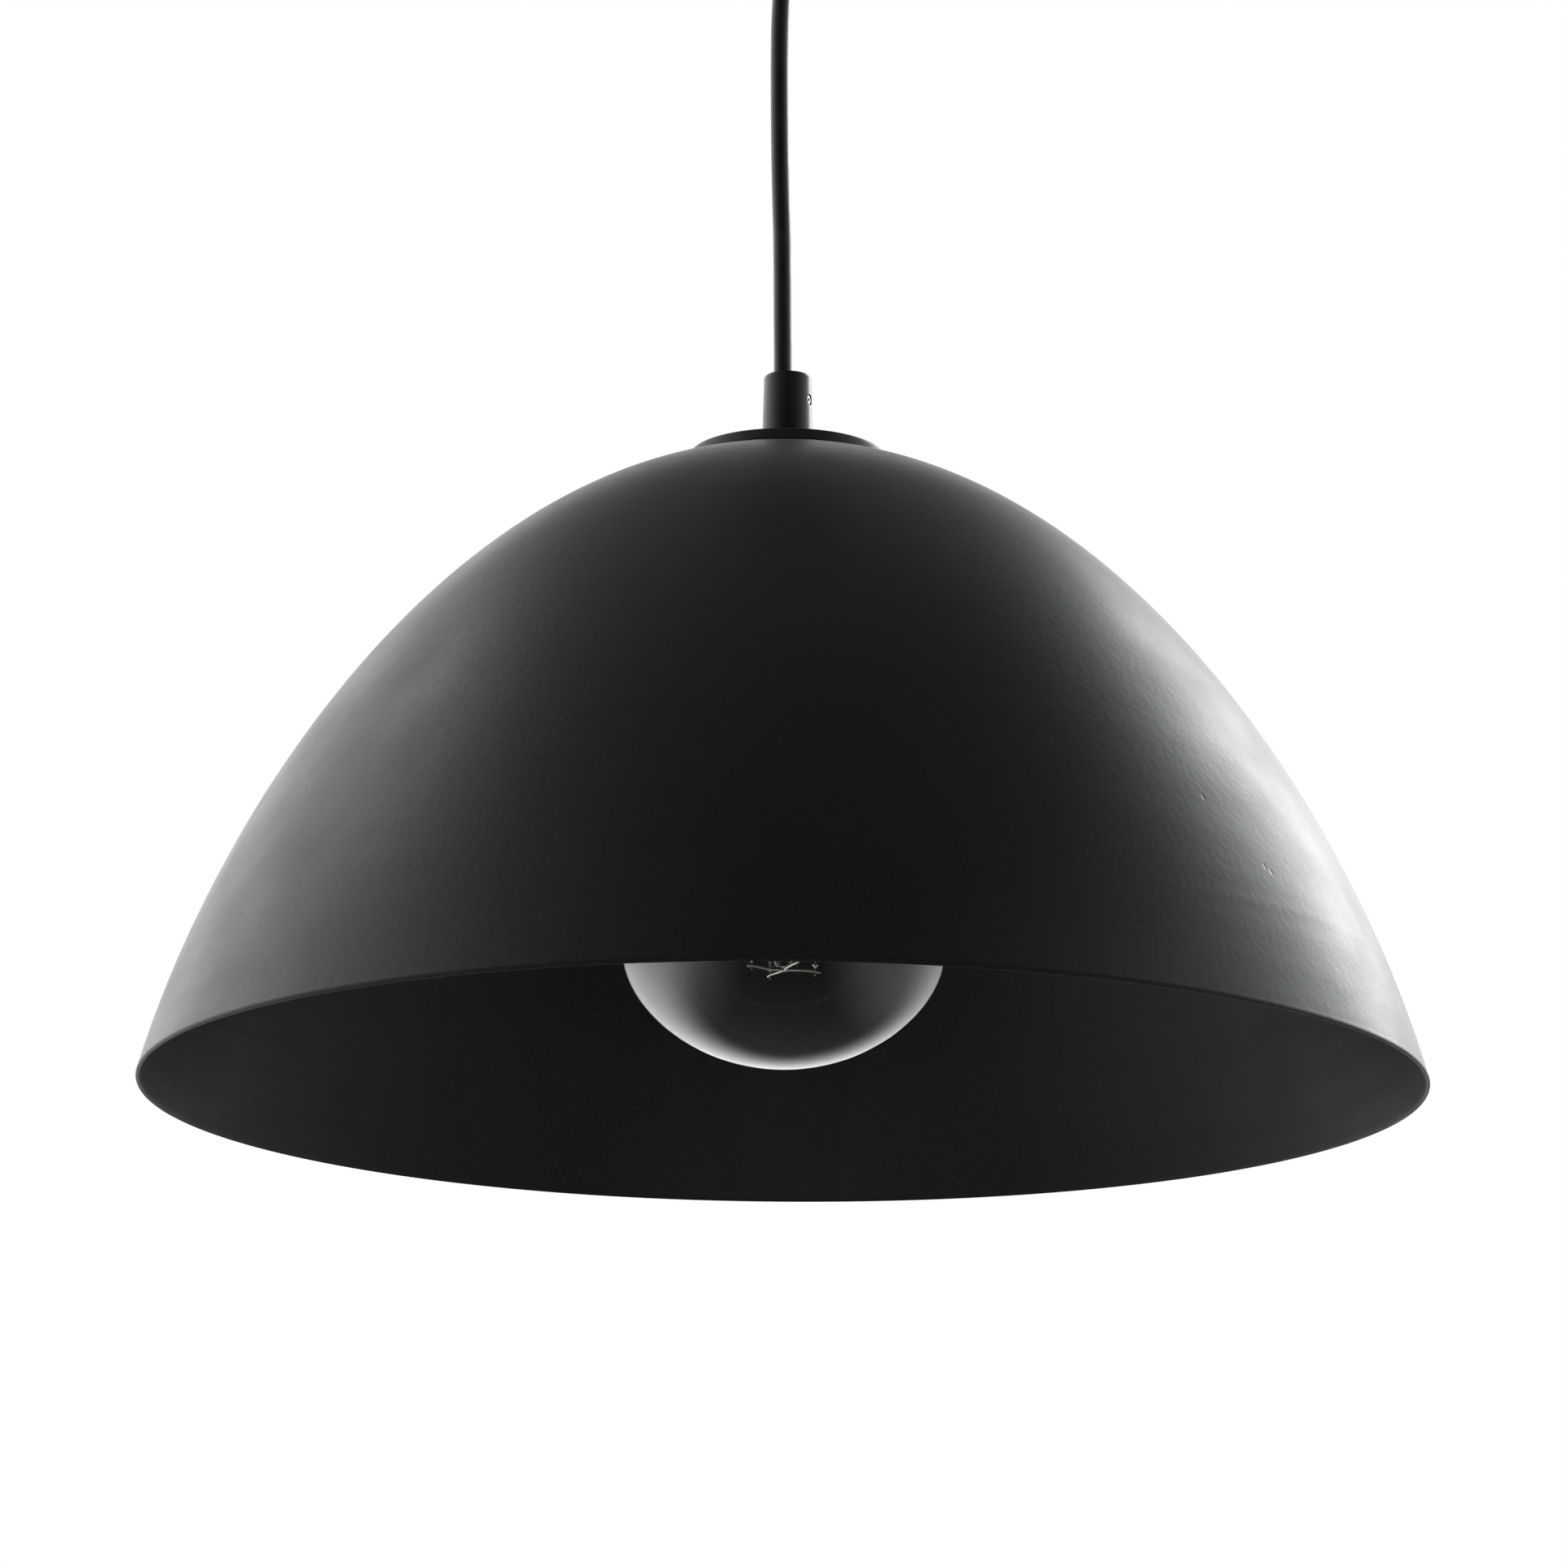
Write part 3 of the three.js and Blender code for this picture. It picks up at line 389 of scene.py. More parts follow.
def applied(piece):
    """The piece with its modifiers made part of its mesh."""
    bpy.context.view_layer.update()
    graph = bpy.context.evaluated_depsgraph_get()
    mesh = bpy.data.meshes.new_from_object(piece.evaluated_get(graph))
    piece.modifiers.clear()
    piece.data = mesh
    return piece


def carved(piece, *cutters):
    """The piece with the cutters taken out of it."""
    for cutter in cutters:
        cut = piece.modifiers.new("cut", "BOOLEAN")
        cut.operation = "DIFFERENCE"
        cut.solver = "EXACT"
        cut.object = cutter
    applied(piece)
    for cutter in cutters:
        bpy.data.objects.remove(cutter)
    shade_smooth(piece.data)
    return piece


def dress(piece, body, slot, material, *nodes):
    """Gives a piece its material and its body, and hides the CAD nodes that it stands for."""
    piece.data.materials.clear()
    piece.data.materials.append(material)
    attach(piece, body)
    if nodes:
        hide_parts(*nodes)
    return piece


# ---- Materials ----


class Surface:
    """A procedural material on one Principled shader. Sizes of its texture are in millimetres."""

    def __init__(self, name, **sockets):
        self.material = bpy.data.materials.new(name)
        self.material.use_nodes = True
        self.tree = self.material.node_tree
        self.shader = self.tree.nodes["Principled BSDF"]
        for socket, value in sockets.items():
            self.shader.inputs[socket.replace("_", " ")].default_value = value
        place = self.add("ShaderNodeTexCoord")
        to_mm = self.add("ShaderNodeVectorMath", operation="SCALE")
        to_mm.inputs["Scale"].default_value = 1 / MM
        self.join(place.outputs["Object"], to_mm.inputs[0])
        self.place = to_mm.outputs["Vector"]
        self.last_bump = None

    def add(self, kind, **settings):
        node = self.tree.nodes.new(kind)
        for key, value in settings.items():
            setattr(node, key, value)
        return node

    def join(self, output, socket):
        self.tree.links.new(output, socket)

    def stretched(self, stretch, shift=(0, 0, 0)):
        """The place with each axis scaled: a small scale draws the texture out along that axis."""
        node = self.add("ShaderNodeVectorMath", operation="MULTIPLY_ADD")
        self.join(self.place, node.inputs[0])
        node.inputs[1].default_value = stretch
        node.inputs[2].default_value = shift
        return node.outputs["Vector"]

    def noise(self, size, detail=2.0, stretch=(1, 1, 1), twist=0.0, roughness=0.5):
        node = self.add("ShaderNodeTexNoise")
        node.inputs["Scale"].default_value = 1 / size
        node.inputs["Detail"].default_value = detail
        node.inputs["Roughness"].default_value = roughness
        node.inputs["Distortion"].default_value = twist
        self.join(self.stretched(stretch), node.inputs["Vector"])
        return node.outputs["Fac"]

    def cells(self, size, shift=(0, 0, 0)):
        """Distance from scattered points, about a size apart, in units of that size."""
        node = self.add("ShaderNodeTexVoronoi")
        node.inputs["Scale"].default_value = 1 / size
        self.join(self.stretched((1, 1, 1), shift), node.inputs["Vector"])
        return node.outputs["Distance"]

    def scaled(self, value, low, high, start=0.0, end=1.0):
        """The value's range from low to high spread over start to end."""
        return spread(self.tree, value, low, high, start, end)

    def ranged(self, noise, start=0.0, end=1.0):
        """A noise's usual range spread over start to end."""
        return self.scaled(noise, 0.3, 0.7, start, end)

    def sum(self, first, second, operation="ADD"):
        return calculated(self.tree, operation, first, second)

    def mixed(self, amount, first, second):
        """One colour turning into another."""
        node = self.add("ShaderNodeMix", data_type="RGBA")
        self.join(amount, node.inputs["Factor"])
        for socket, colour in ((node.inputs["A"], first), (node.inputs["B"], second)):
            if isinstance(colour, tuple):
                socket.default_value = (*colour, 1)
            else:
                self.join(colour, socket)
        return node.outputs["Result"]

    def colour(self, value):
        self.join(value, self.shader.inputs["Base Color"])

    def roughness(self, value):
        self.join(value, self.shader.inputs["Roughness"])

    def bump(self, height, depth):
        """Adds relief: the height from 0 to 1, times a depth in mm."""
        node = self.add("ShaderNodeBump")
        node.inputs["Distance"].default_value = depth * MM
        node.inputs["Strength"].default_value = 1.0
        self.join(height, node.inputs["Height"])
        if self.last_bump:
            self.join(self.last_bump, node.inputs["Normal"])
        self.last_bump = node.outputs["Normal"]
        self.join(self.last_bump, self.shader.inputs["Normal"])


def powder_coat(name="powder_coat", pits_at=(), shine=0.5, paleness=1.0):
    """Fine matt black powder coat: orange peel, a grain of powder, light specks of dust, and dark pits
    whose near-black colour is painted shade in them. Each of pits_at is a pit in a dome's coat: its
    direction about Z in degrees, height above the rim, size. A paleness above 1 is painted light, which
    makes the whole coat paler."""
    skin = Surface(name, IOR=1.5, Specular_IOR_Level=shine)
    peel = skin.noise(2.4, detail=1.5, roughness=0.45)
    grain = skin.noise(0.7, detail=1.0)
    greys = (0.0125, 0.016, 0.02)
    dark, pale, powder = ((grey * paleness, grey * paleness, grey * 1.02 * paleness) for grey in greys)
    tone = skin.mixed(skin.noise(45, detail=2), dark, pale)
    tone = skin.mixed(skin.scaled(grain, 0.35, 0.7), tone, powder)
    dust = skin.scaled(skin.cells(17), 0.016, 0.010)
    shaded_pits = skin.scaled(skin.cells(23, shift=(7, 3, 11)), 0.020, 0.012)
    squash = 0.45  # makes each pit taller than it is wide
    for direction, height, size in pits_at:
        turn, reach = math.radians(direction), dome_radius(height)
        away = skin.add("ShaderNodeVectorMath", operation="DISTANCE")
        skin.join(skin.stretched((1, 1, squash)), away.inputs[0])
        spot = (reach * math.cos(turn), reach * math.sin(turn), squash * (RIM_Z + height))
        away.inputs[1].default_value = spot
        shaded_pits = skin.sum(shaded_pits, skin.scaled(away.outputs["Value"], size, size * 0.5), "MAXIMUM")
    tone = skin.mixed(dust, tone, (0.09, 0.09, 0.09))
    # Painted shade: the pits are real dents in the coat, and their colour is darkened nearly to black as if
    # shaded inside.
    tone = skin.mixed(shaded_pits, tone, (0.001, 0.001, 0.001))
    skin.colour(tone)
    matt = skin.ranged(skin.noise(28, detail=3), 0.40, 0.46)
    skin.roughness(skin.sum(matt, skin.ranged(grain, -0.02, 0.03)))
    skin.bump(peel, 0.05)
    skin.bump(grain, 0.012)
    skin.bump(shaded_pits, -0.08)
    skin.bump(dust, 0.05)
    return skin.material


def black_lacquer():
    """Satin black lacquer on turned steel: fine grain, with the turning marks just showing."""
    skin = Surface("black_lacquer", IOR=1.5)
    grain = skin.noise(0.45, detail=1.5)
    rings = skin.noise(0.35, detail=1.0, stretch=(0.05, 0.05, 1))
    wear = skin.noise(9, detail=4)
    skin.colour(skin.mixed(skin.scaled(wear, 0.35, 0.75), (0.010, 0.010, 0.0105), (0.017, 0.017, 0.018)))
    skin.roughness(skin.sum(skin.ranged(wear, 0.33, 0.42), skin.ranged(grain, -0.02, 0.03)))
    skin.bump(grain, 0.008)
    skin.bump(rings, 0.004)
    return skin.material


def plated_zinc():
    """Zinc plate, bright in places and dull in others, with handling scratches."""
    skin = Surface("plated_zinc", Metallic=1.0)
    patches = skin.noise(6, detail=5, roughness=0.6)
    scratches = skin.noise(0.25, detail=2, stretch=(0.08, 1, 0.6), twist=0.4)
    tone = skin.mixed(skin.ranged(patches), (0.44, 0.45, 0.47), (0.66, 0.67, 0.68))
    skin.colour(skin.mixed(skin.scaled(scratches, 0.62, 0.72), tone, (0.34, 0.34, 0.36)))
    skin.roughness(skin.ranged(patches, 0.42, 0.26))
    skin.bump(scratches, 0.004)
    skin.bump(skin.noise(1.1, detail=2), 0.006)
    return skin.material


def dull_brass():
    """Bare brass, tarnished in patches, with drawing marks."""
    skin = Surface("dull_brass", Metallic=1.0)
    tarnish = skin.noise(3.5, detail=5, roughness=0.6)
    marks = skin.noise(0.2, detail=2, stretch=(0.1, 1, 1))
    skin.colour(skin.mixed(skin.scaled(tarnish, 0.42, 0.68), (0.74, 0.53, 0.22), (0.42, 0.27, 0.10)))
    skin.roughness(skin.scaled(tarnish, 0.35, 0.7, 0.24, 0.48))
    skin.bump(marks, 0.003)
    skin.bump(skin.noise(1.5, detail=2), 0.006)
    return skin.material


def nickel_plate():
    """Thin plated sheet: bright, faintly clouded, with hair scratches."""
    skin = Surface("nickel_plate", Metallic=1.0)
    cloud = skin.noise(5, detail=4)
    hairs = skin.noise(0.2, detail=2, stretch=(1, 0.06, 0.5), twist=0.6)
    tone = skin.mixed(skin.ranged(cloud), (0.60, 0.59, 0.56), (0.72, 0.71, 0.68))
    skin.colour(skin.mixed(skin.scaled(hairs, 0.64, 0.74), tone, (0.42, 0.41, 0.39)))
    skin.roughness(skin.ranged(cloud, 0.16, 0.28))
    skin.bump(hairs, 0.002)
    skin.bump(skin.noise(2.2, detail=2), 0.008)
    return skin.material


def black_plastic():
    """Moulded phenolic plastic: a low sheen with slight sink marks and a fine spark texture."""
    skin = Surface("black_plastic", IOR=1.55)
    spark = skin.noise(0.3, detail=2)
    flow = skin.noise(14, detail=3, stretch=(1, 1, 0.4))
    skin.colour(skin.mixed(skin.ranged(flow), (0.010, 0.010, 0.011), (0.019, 0.018, 0.018)))
    skin.roughness(skin.sum(skin.ranged(flow, 0.34, 0.44), skin.ranged(spark, -0.03, 0.04)))
    skin.bump(spark, 0.010)
    skin.bump(skin.noise(7, detail=2), 0.03)
    return skin.material


def fused_glass():
    """Fused black glass with flow lines and small bubbles."""
    skin = Surface("fused_glass", IOR=1.5)
    flow = skin.noise(2.5, detail=4, twist=1.2)
    bubbles = skin.scaled(skin.cells(1.6), 0.16, 0.08)
    tone = skin.mixed(skin.ranged(flow), (0.006, 0.006, 0.009), (0.020, 0.019, 0.026))
    skin.colour(skin.mixed(bubbles, tone, (0.05, 0.05, 0.06)))
    skin.roughness(skin.ranged(flow, 0.10, 0.22))
    skin.bump(flow, 0.05)
    skin.bump(bubbles, -0.03)
    return skin.material


def steatite():
    """Unglazed steatite: off-white, speckled, with a pressed grain."""
    skin = Surface("steatite", IOR=1.6)
    body = skin.noise(8, detail=4)
    grain = skin.noise(0.35, detail=2)
    iron = skin.scaled(skin.cells(1.9), 0.10, 0.05)
    tone = skin.mixed(skin.ranged(body), (0.74, 0.70, 0.62), (0.84, 0.81, 0.75))
    skin.colour(skin.mixed(iron, tone, (0.34, 0.26, 0.18)))
    skin.roughness(skin.ranged(body, 0.45, 0.60))
    skin.bump(grain, 0.012)
    return skin.material


def ivory_plastic():
    """Moulded polyamide, a little translucent, with a fine matt skin."""
    skin = Surface("ivory_plastic", IOR=1.53, Subsurface_Weight=0.15, Subsurface_Scale=0.002)
    cloud = skin.noise(7, detail=3)
    skin.colour(skin.mixed(skin.ranged(cloud), (0.74, 0.69, 0.56), (0.82, 0.78, 0.66)))
    skin.roughness(skin.ranged(cloud, 0.42, 0.52))
    skin.bump(skin.noise(0.3, detail=2), 0.008)
    skin.bump(skin.noise(4, detail=2), 0.02)
    return skin.material


def pvc(name, dark, light):
    """Extruded PVC: drawn out along its length, with die lines and a dusty bloom."""
    skin = Surface(name, IOR=1.53)
    lines = skin.noise(0.5, detail=2, stretch=(1, 1, 0.02))
    bloom = skin.noise(6, detail=4, stretch=(1, 1, 0.5))
    skin.colour(skin.mixed(skin.scaled(bloom, 0.35, 0.7), dark, light))
    skin.roughness(skin.sum(skin.ranged(bloom, 0.34, 0.44), skin.ranged(lines, -0.02, 0.03)))
    skin.bump(lines, 0.012)
    skin.bump(skin.noise(0.4, detail=1.5), 0.005)
    skin.bump(skin.noise(11, detail=2), 0.10)
    return skin.material


def clear_glass():
    """Thin blown glass: clear, with a faint ripple, fine dust and a light film in patches."""
    skin = Surface("clear_glass", IOR=1.5, Transmission_Weight=1.0)
    film = skin.noise(16, detail=4)
    dust = skin.scaled(skin.cells(5.5), 0.020, 0.012)
    clear = skin.mixed(skin.ranged(film), (0.965, 0.975, 0.97), (0.985, 0.99, 0.988))
    skin.colour(skin.mixed(dust, clear, (0.72, 0.72, 0.72)))
    skin.roughness(skin.scaled(dust, 0, 1, 0.0, 0.35))
    skin.bump(skin.noise(14, detail=1.5), 0.03)
    return skin.material


def phosphor():
    """Silicone loaded with phosphor, over a row of LED chips: yellow, with a soft pebbled skin."""
    skin = Surface("phosphor", IOR=1.42, Subsurface_Weight=0.25, Subsurface_Scale=0.0006)
    pebbles = skin.noise(0.7, detail=3)
    chips = skin.noise(1.3, detail=0, stretch=(0.2, 0.2, 1))
    tone = skin.mixed(skin.ranged(pebbles), (0.72, 0.50, 0.17), (0.86, 0.68, 0.32))
    skin.colour(skin.mixed(skin.scaled(chips, 0.5, 0.7), tone, (0.62, 0.40, 0.12)))
    skin.roughness(skin.ranged(pebbles, 0.38, 0.55))
    skin.bump(pebbles, 0.05)
    return skin.material


POWDER_COAT = powder_coat()
BLACK_LACQUER = black_lacquer()
ZINC = plated_zinc()
BRASS = dull_brass()
NICKEL = nickel_plate()
BLACK_PLASTIC = black_plastic()
FUSED_GLASS = fused_glass()
STEATITE = steatite()
IVORY_PLASTIC = ivory_plastic()
BLACK_PVC = pvc("black_pvc", (0.008, 0.008, 0.0085), (0.014, 0.014, 0.015))
BROWN_PVC = pvc("brown_pvc", (0.10, 0.040, 0.016), (0.16, 0.066, 0.027))
BLUE_PVC = pvc("blue_pvc", (0.020, 0.13, 0.36), (0.035, 0.19, 0.48))
CLEAR_GLASS = clear_glass()
PHOSPHOR = phosphor()

# ---- Cord ----

CORD_RADIUS = 2.9
CORD_SPLIT = -87
SHEATH_IN_GRIP = 11  # how far the sheath goes into each grip
CLAMPED_Z = SHADE_GRIP_HIGH - 5.5  # the sheath below this height is clamped, and turns with the grip
CORD_POINTS = [
    (0, EXIT_Z + SHEATH_IN_GRIP), (0, EXIT_Z), (0, -58), (-0.35, -64), (-1.1, -72), (-2.1, -80),
    (-2.8, CORD_SPLIT), (-3.2, -96), (-3.35, -105), (-3.3, -120), (-2.9, -146), (-2.5, -160),
    (-2.1, -173), (-1.85, -190), (-1.6, -211), (-1.55, SHADE_GRIP_HIGH),
    (-1.5, SHADE_GRIP_HIGH - SHEATH_IN_GRIP),
]

cord_line = smooth_line([(x, 0, z) for x, z in CORD_POINTS], 1.6)


def nearest(height):
    """The index of the cord line's point nearest to a height."""
    return min(range(len(cord_line)), key=lambda i: abs(cord_line[i][2] - height))


split, clamp = nearest(CORD_SPLIT), nearest(CLAMPED_Z)


cord_upper = tube("cord_upper_sheath", cord_line, CORD_RADIUS, 28, last=split)
cord_lower = tube("cord_lower_sheath", cord_line, CORD_RADIUS, 28, first=split, last=clamp)
clamped_start = 0.8 * cord_line[clamp] + 0.2 * cord_line[clamp + 1]
cord_end = tube("cord_end_sheath", [clamped_start, *cord_line[clamp + 1 :]], CORD_RADIUS, 28)
dress(cord_end, "shade", "black_pvc", BLACK_PVC)
for piece, node in ((cord_upper, "cord_upper"), (cord_lower, "cord_lower")):
    piece.data.materials.append(BLACK_PVC)
    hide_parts(node)
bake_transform(cord_upper)
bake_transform(cord_lower)

# ---- Threads and turned fittings ----

COARSE_PITCH = 1.0  # M10 x 1
SCREW_PITCH = 0.7  # M4
GRUB_PITCH = 0.5  # M3
LAMP_PITCH = 3.62  # E27


def wave(turns):
    """A rounded thread form: 1 at each crest and -1 at each root."""
    return math.sin(2 * math.pi * turns)


def threaded(depth, pitch, low, high, crest=None):
    """A radius_at that cuts a thread between two heights, where the radius is the crest's if one is
    given; its crests keep their radius."""

    def radius_at(radius, height, angle):
        on_crest = crest is None or abs(radius - crest) < 0.04
        if not (on_crest and low <= height <= high):
            return radius
        fade = min(1, (height - low) / pitch, (high - height) / pitch)
        return radius - depth * fade * (1 - wave(height / pitch - angle / (2 * math.pi))) / 2

    return radius_at


def nipple(name, low, high):
    """An M10 x 1 hollow threaded tube."""
    outer, bore, chamfer = 5.0, 3.6, 0.6
    thread_low, thread_high = low + chamfer, high - chamfer
    profile = [
        (outer - chamfer, low), *finely((outer, thread_low), (outer, thread_high), COARSE_PITCH / 7),
        (outer - chamfer, high), (bore + 0.2, high), (bore, high - 0.2), (bore, low + 0.2),
        (bore + 0.2, low),
    ]
    thread = threaded(0.54, COARSE_PITCH, thread_low, thread_high, outer)
    return turned(name, profile, segments=48, radius_at=thread)


def hex_nut(name, low):
    """A hexagon nut, 14 mm across its flats, chamfered at both ends, with its thread in the bore."""
    flat, height, bore = 7.0, 4.0, 5.28
    corner = flat / math.cos(math.pi / 6)
    chamfer = (corner - flat + 0.2) * math.tan(math.radians(30))

    def radius_at(radius, h, angle):
        if radius < flat - 0.5:
            return bore + 0.12 * wave((h - low) / COARSE_PITCH - angle / (2 * math.pi))
        across = (angle + math.pi / 6) % (math.pi / 3) - math.pi / 6
        edge = (flat - 0.2) + min(h - low, low + height - h) / math.tan(math.radians(30))
        return min(flat / math.cos(across), edge, corner - 0.05)

    side = finely((corner, low), (corner, low + height), chamfer / 6)
    inside = finely((bore, low + height), (bore, low), COARSE_PITCH / 6)
    return turned(name, side + inside, segments=120, radius_at=radius_at)


def washer(name, low):
    profile = [(12.5, low), (12.5, low + 1.2), (5.35, low + 1.2), (5.35, low)]
    return turned(name, rounded(profile, 0.3), segments=96)


def rod(name, start, end, radius, segments=32):
    """A plain round cutter from one point to another."""
    start, end = Vector(start), Vector(end)
    length = (end - start).length
    profile = [(0, 0), (radius, 0), (radius, length), (0, length)]
    piece = turned(name, profile, segments=segments, ring=False)
    turn = (end - start).to_track_quat("Z", "Y").to_matrix().to_4x4()
    return moved(piece, shift(*start) @ turn)


def block(name, low, high, bevel=0.0):
    """A rectangular body, with its edges rounded by the bevel."""
    mesh = bpy.data.meshes.new(name)
    work = bmesh.new()
    bmesh.ops.create_cube(work, size=1)
    for vertex in work.verts:
        for axis in range(3):
            vertex.co[axis] = (high[axis] if vertex.co[axis] > 0 else low[axis]) * MM
    if bevel:
        size = bevel * MM
        bmesh.ops.bevel(work, geom=work.edges, offset=size, segments=3, profile=0.5, affect="EDGES")
    work.to_mesh(mesh)
    work.free()
    shade_smooth(mesh)
    return new_object(name, mesh)


def slab(name, outline, low, high):
    """A flat outline in X and Y raised from one height to another."""
    count = len(outline)
    vertices = [(x * MM, y * MM, z * MM) for z in (low, high) for x, y in outline]
    faces = [tuple(range(count))[::-1], tuple(range(count, 2 * count))]
    faces += [(i, (i + 1) % count, count + (i + 1) % count, count + i) for i in range(count)]
    mesh = bpy.data.meshes.new(name)
    mesh.from_pydata(vertices, [], faces)
    shade_smooth(mesh)
    return new_object(name, mesh)


def beveled(piece, size, segments, angle):
    """The piece with its edges rounded wherever they turn by more than the angle in degrees."""
    soften = piece.modifiers.new("bevel", "BEVEL")
    soften.width = size * MM
    soften.segments = segments
    soften.limit_method = "ANGLE"
    soften.angle_limit = math.radians(angle)
    soften.use_clamp_overlap = True
    applied(piece)
    shade_smooth(piece.data, 40)
    return piece


def moved(piece, matrix):
    piece.data.transform(matrix)
    return piece


def joined(name, *pieces):
    """Several meshes as one piece."""
    work = bmesh.new()
    for piece in pieces:
        work.from_mesh(piece.data)
    mesh = bpy.data.meshes.new(name)
    work.to_mesh(mesh)
    work.free()
    for piece in pieces:
        bpy.data.objects.remove(piece)
    return new_object(name, mesh)


GRIP_LENGTH = 23
GRIP_SCREW_HEIGHT = 14.5
GRIP_SCREW_TURN = math.radians(-21)
NIPPLE_IN_GRIP = 11.5  # how far each nipple goes into its grip


def cord_grip(name):
    """The turned grip, on its base at 0, with its clamping screw's hole in the side."""
    base, end, bore, socket = 8.0, 7.6, 4.6, 5.25
    profile = [
        (base - 0.35, 0.0), (base, 0.35), *finely((base, 0.6), (end, GRIP_LENGTH - 1.3), 2.0),
        *arc((end - 1.2, GRIP_LENGTH - 1.2), 1.2, 4, 88, 8), (bore + 0.7, GRIP_LENGTH),
        *arc((bore + 0.7, GRIP_LENGTH - 0.7), 0.7, 100, 180, 5), (bore, 12.5), (bore + 0.2, 12.3),
        (socket, 12.3), *finely((socket, 12.0), (socket, 0.7), COARSE_PITCH / 4), (socket + 0.5, 0.0),
    ]
    body = turned(name, profile, segments=96)
    turn = Matrix.Rotation(GRIP_SCREW_TURN, 4, "Z")
    hole = rod("hole", (bore - 1, 0, GRIP_SCREW_HEIGHT), (base + 2, 0, GRIP_SCREW_HEIGHT), 1.55)
    sink = turned("sink", [(0, 0), (1.5, 0), (2.1, 0.62), (2.1, 1.5), (0, 1.5)], segments=32, ring=False)
    moved(sink, turn @ shift(base - 0.6, 0, GRIP_SCREW_HEIGHT) @ ALONG_X)
    return carved(body, moved(hole, turn), sink)


def grub_screw(name, tip, end):
    """An M3 grub screw with a hexagon socket, in the grip's side."""
    length, radius = end - tip, 1.5
    profile = [
        (0, 0.15), (0.75, 0), (radius - 0.25, 0.35), (radius - 0.25, 0.36),
        *finely((radius, 0.6), (radius, length - 0.3), GRUB_PITCH / 6), (radius - 0.3, length),
        (0, length),
    ]
    thread = threaded(0.28, GRUB_PITCH, 0.6, length - 0.3, radius)
    body = turned(name, profile, segments=36, ring=False, radius_at=thread)
    corner = 0.75 / math.cos(math.pi / 6)
    angles = [i * math.pi / 3 for i in range(6)]
    hexagon = [(corner * math.cos(angle), corner * math.sin(angle)) for angle in angles]
    carved(body, slab("socket", hexagon, length - 1.8, length + 1))
    turn = Matrix.Rotation(GRIP_SCREW_TURN, 4, "Z")
    return moved(body, turn @ shift(tip, 0, GRIP_SCREW_HEIGHT) @ ALONG_X)


# ---- Ceiling fitting ----

CANOPY_RADIUS = 55.0
CANOPY_TAPER = 0.7
CANOPY_WALL = 1.0
CANOPY_EDGE = 10.0
SIDE_SCREW_Z = -8.5
BLOCK_MIDDLE = 19.0
BLOCK_HALF = 8.5
BLOCK_TOP, BLOCK_BOTTOM = -2.3, -15.3
POLE_Z = (BLOCK_TOP + BLOCK_BOTTOM) / 2
POLE_Y = 4.25


def side_holes(start, end, radius):
    """A cutter for the canopy screw at each side."""
    spans = [((side * start, 0, SIDE_SCREW_Z), (side * end, 0, SIDE_SCREW_Z)) for side in (-1, 1)]
    return [rod("hole", *span, radius) for span in spans]


def ceiling_bracket():
    """A pressed strip with a tab bent down at each end, the back corners of the tabs rounded, and slots
    for its screws."""
    half, thick, tab, bend, width, rounding = 52.0, 2.0, 14.0, 3.0, 10.0, 2.5
    profile = [
        (-half, -tab), (-half + thick, -tab), *arc((-half + bend, -bend), bend - thick, 180, 90, 6),
        *arc((half - bend, -bend), bend - thick, 90, 0, 6), (half - thick, -tab), (half, -tab),
        *arc((half - bend, -bend), bend, 0, 90, 8), *arc((-half + bend, -bend), bend, 90, 180, 8),
    ]
    strip = slab("ceiling_bracket_strip", profile, -width, width)
    moved(strip, Y_TO_Z)
    cutters = []
    for x in (-34, 34):
        ends = arc((x + 1.7, 0), 2.3, -90, 90, 14) + arc((x - 1.7, 0), 2.3, 90, 270, 14)
        cutters.append(slab("slot", ends, -4, 2))
    cutters.append(rod("hole", (BLOCK_MIDDLE, 0, -4), (BLOCK_MIDDLE, 0, 2), 1.6))
    inner_y, inner_z = rounding - width, rounding - tab
    # Mirroring turns the second cutter inside out, so the front corners of the tabs stay square.
    for side in (-1, 1):
        nook = block("nook", (-60, -20, -20), (60, inner_y, inner_z))
        carved(nook, rod("rounding", (-60, inner_y, inner_z), (60, inner_y, inner_z), rounding, 48))
        cutters.append(moved(nook, Matrix.Diagonal((-1, side, 1, 1))))
    carved(strip, *cutters, *side_holes(half - 4, half + 2, 2.1))
    return beveled(strip, 0.2, 2, 50)


